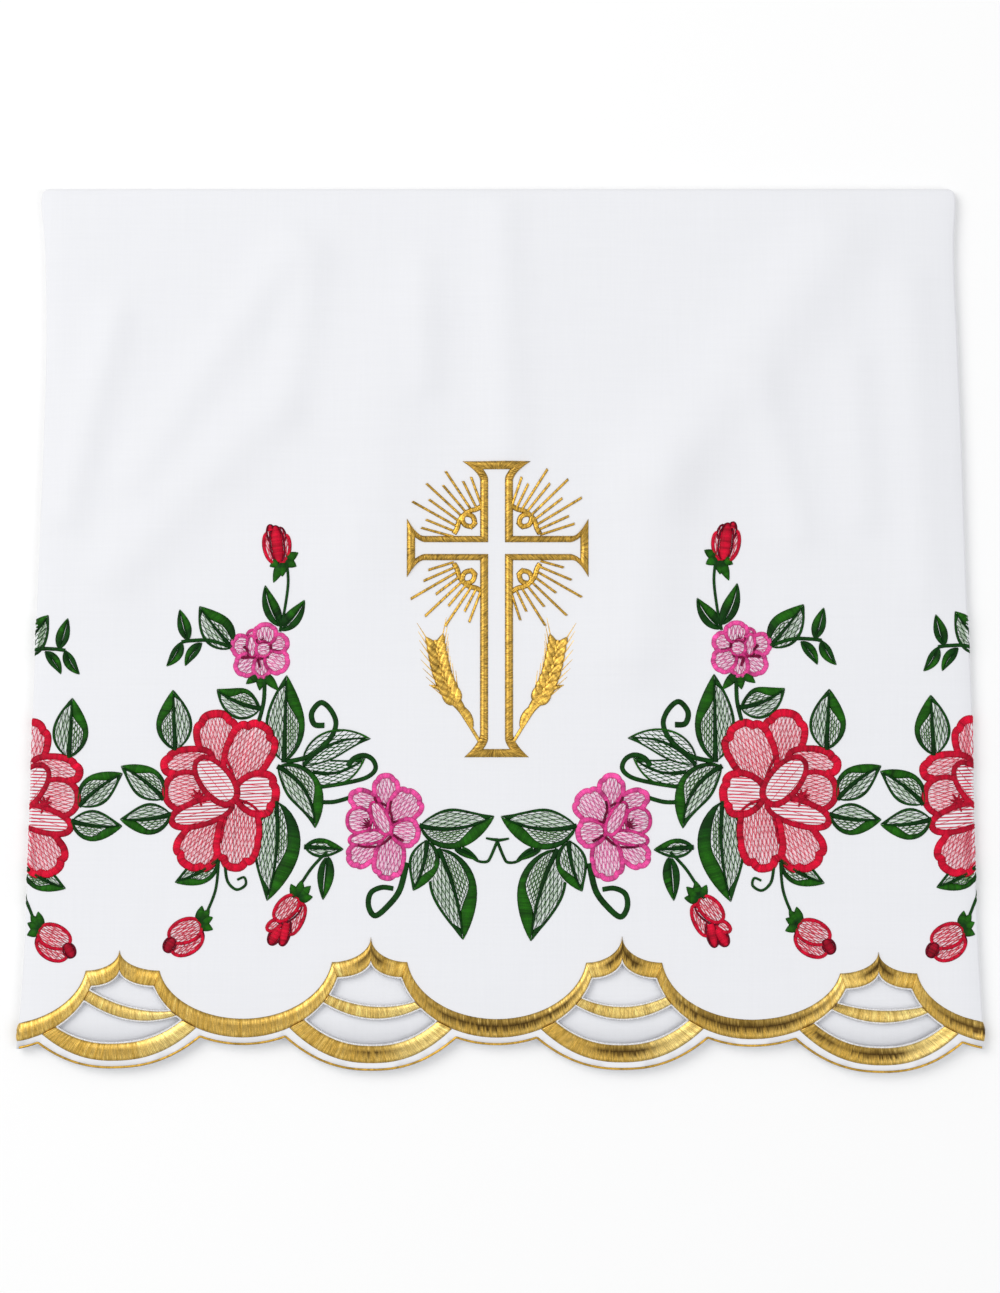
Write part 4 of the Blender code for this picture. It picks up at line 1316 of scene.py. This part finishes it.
def bands_of_border():
    """Edge lines of each gold band, its height, and how far round the level its painted dark reflection
    reaches.
    """
    bands = []
    for index, swag in enumerate(SWAGS):
        upper, lower = [], []
        if index > 0:
            upper += upper_half(index - 1, 1)[::-1]
            start = shoulder(ARCHES[index - 1], 1)[0]
            lower += along_swag(index - 1, 1, spread(start, swag.x, SWAG_STEPS))
        if index < len(ARCHES):
            end = shoulder(ARCHES[index], -1)[0]
            upper += upper_half(index, -1)[min(index, 1):]
            lower += along_swag(index, -1, spread(swag.x, end, SWAG_STEPS))[min(index, 1):]
        bands.append((upper, lower, *SWAG_GOLD))
    for index, arch in enumerate(ARCHES):
        for side in (-1, 1):
            outer = peak_curve(shoulder(arch, side, 0, 0), (arch.x, arch.peak), GOLD_PEAK_STEPS)
            inner = peak_curve(shoulder(arch, side), (arch.x, arch.window), GOLD_PEAK_STEPS)
            bands.append((outer, inner, *PEAK_GOLD))
        bands.append((bar_edge(index, 1, SWAG_STEPS), bar_edge(index, -1, SWAG_STEPS), *BAR_GOLD))
        upper = scallop_edge(index, SCALLOP_END, HEM_MARGIN + SCALLOP_BAND)
        bands.append((upper, scallop_edge(index, GOLD_CUSP, HEM_MARGIN), *SCALLOP_GOLD))
    return bands


def draw_border(work):
    for upper, lower, height, flat_run in bands_of_border():
        # Painted reflections and highlights on the gold
        satin(work, evened(upper, BAND_STEPS), evened(lower, BAND_STEPS), GOLD, height,
              shine=partial(gold_painted_reflections, flat_run=flat_run), **BORDER_SATIN)


def draw_cut_edges(work):
    """White buttonhole edge round the openings."""
    for line in windows():
        line_stitch(work, evened(line + line[:1], CUT_STEPS), WHITE, **CUT_ROPE)


def draw_hem_line(work):
    line = lower_line(1.0, HEM_LINE, HEM_MARGIN - HEM_LINE, fold_x(-1), fold_x(1))
    line_stitch(work, evened(line, HEM_STEPS), GOLD_DARKER, **HEM_ROPE)


def draw_cross(work):
    outer, inner = (looped(cross_outline(side))[:-1] for side in (False, True))
    for index in range(len(outer) - 1):
        edges = [evened(line[index:index + 2], 2) for line in (inner, outer)]
        # Painted dark reflection down the middle of each band
        satin(work, *edges, GOLD, shine=cross_painted_reflection, **CROSS_SATIN)


def draw_rays(work):
    """The rays in the corners of the cross, and two loops in each."""
    for fan in FANS:
        count = len(fan.reaches) - 1
        for i, reach in enumerate(fan.reaches):
            turn = (fan.first + (fan.last - fan.first) * i / count) * pi / 180
            ends = [turned(far, 0, turn, RAY_CENTRE) for far in (RAY_START, reach / 1000)]
            line_stitch(work, evened(ends, SHORT_STEPS), GOLD_DARKER, **RAY_ROPE)
    for quarter in range(4):
        for step in (1, -1):
            line = [turned(*place[::step], quarter * pi / 2, RAY_CENTRE) for place in smooth(in_metres(LOOP))]
            line_stitch(work, line, GOLD_DARKER, **LOOP_ROPE)


def draw_ears(work):
    """A pair of corn ears, mirrored about the cross, each with its awns and two blades."""
    for side in (-1, 1):
        line = smooth([(side * x / 1000 + EAR_X, y / 1000) for x, y in EAR_PATH], 12)
        run = lengths(line)
        for k in range(EAR_GRAINS):
            length = run[-1] * (EAR_START + EAR_SPAN * k / (EAR_GRAINS - 1))
            base, ahead = (sampled(line, run, length + step) for step in (0.0, EAR_STEP))
            for lean in (-GRAIN_LEAN, GRAIN_LEAN):
                angle = atan2(ahead[1] - base[1], ahead[0] - base[0]) + lean
                tip = turned(GRAIN_LENGTH, 0, angle, base)
                grain = Leaf(*base, *tip, GRAIN_WIDTH, 0.1 * lean, 1, "full")
                satin(work, *leaf_shape(grain, SMALL_LEAF_STEPS)[1:], GOLD, **GRAIN_SATIN)
                awn = [tip, turned(AWN_LENGTH, 0, angle - 0.3 * lean, tip)]
                line_stitch(work, evened(awn, 4), GOLD, **AWN_ROPE)
        line_stitch(work, line, GOLD, **STALK_ROPE)
        for k, bow in enumerate((0.010, 0.016)):
            x, y = sampled(line, run, run[-1] * (0.16 + 0.10 * k))
            blade = Leaf(x, y, x + side * bow * 1.2, y + 0.014 + 0.004 * k, BLADE_WIDTH, side * 0.15, side,
                         "full")
            satin(work, *leaf_shape(blade, BLADE_STEPS)[1:], GOLD, **BLADE_SATIN)


def sheet_points():
    """Corners of the sheet between its edges and folds, closer together on the front."""
    points = []
    for v in spread(FRONT_LOW, FOLD_AXIS_Y - FRONT_GRID, round(FRONT_TALL / FRONT_GRID)):
        for u in spread(-FRONT_HALF, FRONT_HALF, round(2 * FRONT_HALF / FRONT_GRID)):
            if crease(v, copysign(1, u)) - abs(u) > FRONT_GRID / 2:
                points.append((u, v))
    back_top = BACK_HEM_V - HIDDEN_GRID
    for v in spread(BACK_V + HIDDEN_GRID, back_top, round(BACK_TALL / HIDDEN_GRID)):
        points += [(u, v) for u in spread(-BACK_HALF, BACK_HALF, round(2 * BACK_HALF / HIDDEN_GRID))]
    for side in (-1, 1):
        for v in spread(FLAP_LOW, back_top, round(FLAP_TALL / HIDDEN_GRID)):
            if not FOLD_AXIS_Y - FOLD_GAP < v < BACK_V + FOLD_GAP:
                start = crease(v, side) + SIDE_BEND_RUN
                aways = spread(HIDDEN_GRID / 2, FLAP_WIDE, round(FLAP_SPAN / HIDDEN_GRID))
                points += [(side * (start + away), v) for away in aways]
    return points


def linen_mesh():
    """The folded sheet."""
    outline = pattern_outline()
    openings = windows()
    closed = [outline] + openings
    lines = fold_lines()
    boxes = [(box_of(opening), opening) for opening in openings]
    near = {}
    for x, y in sum(closed + lines, []):
        near.setdefault((floor(x / CELL), floor(y / CELL)), []).append((x, y))

    def is_free(x, y):
        i, j = floor(x / CELL), floor(y / CELL)
        crowd = [p for a in (-1, 0, 1) for b in (-1, 0, 1) for p in near.get((i + a, j + b), ())]
        if any(hypot(x - a, y - b) < CELL for a, b in crowd):
            return False
        return inside((x, y), outline) and not covered((x, y), boxes)

    corners, faces, edges = [], [], []
    for shape in closed:
        faces.append(list(range(len(corners), len(corners) + len(shape))))
        corners += [Vector(p) for p in shape]
    for line in lines:
        first = len(corners)
        corners += [Vector(p) for p in line]
        edges += [(i, i + 1) for i in range(first, len(corners) - 1)]
    corners += [Vector(p) for p in sheet_points() if is_free(*p)]
    placed, _, triangles, _, _, owners = delaunay_2d_cdt(corners, edges, faces, 1, MERGE)
    mesh = bmesh.new()
    verts = [mesh.verts.new((p.x, p.y, THICKNESS / 2 - SHEET_THICKNESS)) for p in placed]
    for triangle, owner in zip(triangles, owners):
        if not any(1 <= i <= len(openings) for i in owner):
            mesh.faces.new([verts[i] for i in triangle])
    for vert in [v for v in mesh.verts if not v.link_faces]:
        mesh.verts.remove(vert)
    raised = bmesh.ops.extrude_face_region(mesh, geom=mesh.faces[:])["geom"]
    lifted = [v for v in raised if isinstance(v, bmesh.types.BMVert)]
    bmesh.ops.translate(mesh, vec=(0, 0, SHEET_THICKNESS), verts=lifted)
    for vert in mesh.verts:
        vert.co = folded(*vert.co)
    return mesh


def placed_object(name, data):
    made = bpy.data.objects.new(name, data)
    bpy.context.collection.objects.link(made)
    return made


def piece(name, mesh, finish, data=None):
    """An object of a mesh, smooth and with its faces outwards."""
    data = data or bpy.data.meshes.new(name)
    bmesh.ops.recalc_face_normals(mesh, faces=mesh.faces[:])
    mesh.to_mesh(data)
    mesh.free()
    data.materials.append(finish)
    data.shade_smooth()
    return placed_object(name, data)


def thread_piece(name, work, finish):
    """One mesh of a work's stitches, its thread colours, with their painted shade and painted reflections,
    kept at its corners.
    """
    data = bpy.data.meshes.new(name)
    data.from_pydata(work.corners, [], work.faces)
    colours = data.color_attributes.new("thread", "FLOAT_COLOR", "POINT")
    flat = [c for colour in work.colours for c in (*[max(v, 0.0) for v in colour], 1.0)]
    colours.data.foreach_set("color", flat)
    mesh = bmesh.new()
    mesh.from_mesh(data)
    return piece(name, mesh, finish, data)


class Nodes:
    """Short ways to add the nodes of one material."""

    def __init__(self, name):
        self.material = bpy.data.materials.new(name)
        self.material.use_nodes = True
        self.tree = self.material.node_tree
        self.shader = self.tree.nodes["Principled BSDF"]

    def add(self, kind, **settings):
        node = self.tree.nodes.new(kind)
        for key, value in settings.items():
            setattr(node, key, value)
        return node

    def join(self, source, target):
        self.tree.links.new(source, target)

    def wire(self, node, values):
        """Set or join a node's inputs by name."""
        for name, value in values.items():
            if isinstance(value, bpy.types.NodeSocket):
                self.join(value, node.inputs[name])
            else:
                node.inputs[name].default_value = value

    def maths(self, operation, first, second):
        node = self.add("ShaderNodeMath", operation=operation)
        self.wire(node, {0: first, 1: second})
        return node.outputs[0]

    def noise(self, vector, scale, detail=2.0):
        node = self.add("ShaderNodeTexNoise")
        self.wire(node, {"Scale": scale, "Detail": detail, "Vector": vector})
        return node.outputs["Fac"]

    def stretched(self, vector, scale):
        node = self.add("ShaderNodeMapping")
        self.wire(node, {"Scale": scale, "Vector": vector})
        return node.outputs["Vector"]

    def bump(self, height, strength, distance, normal=None):
        node = self.add("ShaderNodeBump")
        self.wire(node, {"Strength": strength, "Distance": distance, "Height": height})
        if normal is not None:
            self.join(normal, node.inputs["Normal"])
        return node.outputs["Normal"]

    def ramp(self, source, low, high):
        """Colours from low to high along a value from 0.3 to 0.7."""
        node = self.add("ShaderNodeValToRGB")
        for element, colour, place in zip(node.color_ramp.elements, (low, high), (0.3, 0.7)):
            element.color = (*colour, 1)
            element.position = place
        self.join(source, node.inputs["Fac"])
        return node.outputs["Color"]


def linen_material():
    """Linen: a fine weave and slubs in relief, soft puckers, and a slightly uneven white."""
    made = Nodes("linen")
    place = made.add("ShaderNodeTexCoord").outputs["Object"]
    parts = made.add("ShaderNodeSeparateXYZ")
    made.join(place, parts.inputs[0])
    waves = [
        made.maths("SINE", made.maths("MULTIPLY", parts.outputs[axis], 2 * pi / WEAVE_PITCH), 0.0)
        for axis in "XY"
    ]
    slubs = [made.noise(made.stretched(place, scale), 1.0, 3.0) for scale in SLUB_SCALES]
    slubs = made.maths("ADD", *slubs)
    weave = made.maths("ADD", made.maths("MULTIPLY", made.maths("MULTIPLY", *waves), 0.25), slubs)
    normal = made.bump(weave, 0.22, 0.00010)
    normal = made.bump(made.noise(place, 45.0, 2.0), 0.16, 0.0010, normal)
    normal = made.bump(made.noise(place, 9.0, 3.0), 0.5, 0.0040, normal)
    tints = [[c * share for c in LINEN] for share in (0.985, 1.01)]
    made.wire(made.shader, {
        "Base Color": made.ramp(made.maths("MULTIPLY", slubs, 0.5), *tints),
        "Normal": normal,
        "Roughness": 0.88,
        "Sheen Weight": 0.15,
        "Sheen Roughness": 0.5,
    })
    return made.material


def thread_material(name, roughness, metallic, specular):
    """Thread: the colours at its corners, which hold painted shade and painted reflections, lightly uneven,
    with fine fibres in relief.
    """
    made = Nodes(name)
    place = made.add("ShaderNodeTexCoord").outputs["Object"]
    colour = made.add("ShaderNodeAttribute", attribute_name="thread").outputs["Color"]
    flecks = made.noise(place, 2600.0, 2.0)
    mix = made.add("ShaderNodeMix", data_type="RGBA", blend_type="MULTIPLY")
    mix.inputs["Factor"].default_value = 1.0
    made.join(colour, mix.inputs[6])
    made.join(made.ramp(flecks, (0.72, 0.72, 0.72), (1.25, 1.25, 1.25)), mix.inputs[7])
    worn = made.maths("MULTIPLY", made.noise(place, 400.0), 0.2)
    made.wire(made.shader, {
        "Base Color": mix.outputs[2],
        "Normal": made.bump(flecks, 0.4, 0.0001),
        "Roughness": made.maths("ADD", worn, roughness - 0.1),
        "Metallic": metallic,
        "Sheen Weight": 0.0,
        "Specular IOR Level": specular,
    })
    return made.material


def area_lamp(name, place, size, power, colour):
    """A round soft light that shines at the middle of the cloth."""
    lamp = bpy.data.lights.new(name, "AREA")
    lamp.shape = "DISK"
    lamp.size = size
    lamp.energy = power
    lamp.color = colour
    made = placed_object(name, lamp)
    made.location = place
    made.rotation_euler = (-Vector(place)).to_track_quat("-Z", "Y").to_euler()


def set_stage():
    """Pale floor, soft light mostly from the left, and the camera above the cloth."""
    bpy.ops.mesh.primitive_plane_add(size=12.0, location=(0, 0, 0))
    floor_piece = bpy.context.object
    floor_piece.name = "floor"
    paint = Nodes("pale floor")
    paint.wire(paint.shader, {"Base Color": (0.93, 0.93, 0.93, 1), "Roughness": 0.9})
    floor_piece.data.materials.append(paint.material)
    scene = bpy.context.scene
    scene.world = bpy.data.worlds.new("studio")
    scene.world.use_nodes = True
    sky = scene.world.node_tree.nodes["Background"]
    sky.inputs["Color"].default_value = (0.99, 0.995, 1.0, 1)
    sky.inputs["Strength"].default_value = WORLD_STRENGTH
    area_lamp("key", (-1.6, 0.9, 2.2), 2.2, KEY_POWER, (1.0, 0.99, 0.97))
    area_lamp("fill", (1.6, -0.8, 2.4), 2.0, FILL_POWER, (0.97, 0.98, 1.0))
    lens = bpy.data.cameras.new("camera")
    lens.sensor_fit = "HORIZONTAL"
    lens.sensor_width = SENSOR
    lens.lens = FOCAL_PIXELS / IMAGE_WIDTH * SENSOR
    camera = placed_object("camera", lens)
    camera.location = (0, AIM_Y - CAMERA_DISTANCE * sin(CAMERA_TILT), CAMERA_DISTANCE * cos(CAMERA_TILT))
    camera.rotation_euler = (CAMERA_TILT, 0, 0)
    scene.camera = camera
    scene.view_settings.view_transform = "Standard"


def main():
    names = ("border", "cross", "fine", "red", "pink", "green", "stems", "white")
    works = {name: Work(seed) for seed, name in enumerate(names, FIRST_SEED)}
    draw_border(works["border"])
    draw_cross(works["cross"])
    draw_hem_line(works["fine"])
    draw_rays(works["fine"])
    draw_ears(works["fine"])
    draw_cut_edges(works["white"])
    draw_flowers(works["red"], works["pink"], works["green"], works["stems"])
    gold = thread_material("gold thread", 0.38, 0.85, 0.5)
    cotton = thread_material("embroidery thread", 0.50, 0.0, 0.10)
    linen = piece("linen_cloth", linen_mesh(), linen_material())
    pieces = {
        "gold_border": ("border", gold, "gold_thread"),
        "gold_cross": ("cross", gold, "gold_thread"),
        "gold_rays_and_ears": ("fine", gold, "gold_thread"),
        "red_flowers": ("red", cotton, "red_thread"),
        "pink_flowers": ("pink", cotton, "pink_thread"),
        "green_leaves": ("green", cotton, "green_thread"),
        "green_stems": ("stems", cotton, "green_thread"),
        "white_cut_edges": ("white", cotton, "linen"),
    }
    made = {}
    for name, (work, finish, slot) in pieces.items():
        made[name] = thread_piece(name, works[work], finish)
        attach(made[name], "root")
    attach(linen, "root")
    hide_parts("cloth")
    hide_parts("border_satin")
    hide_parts("cross_satin")
    set_stage()


main()
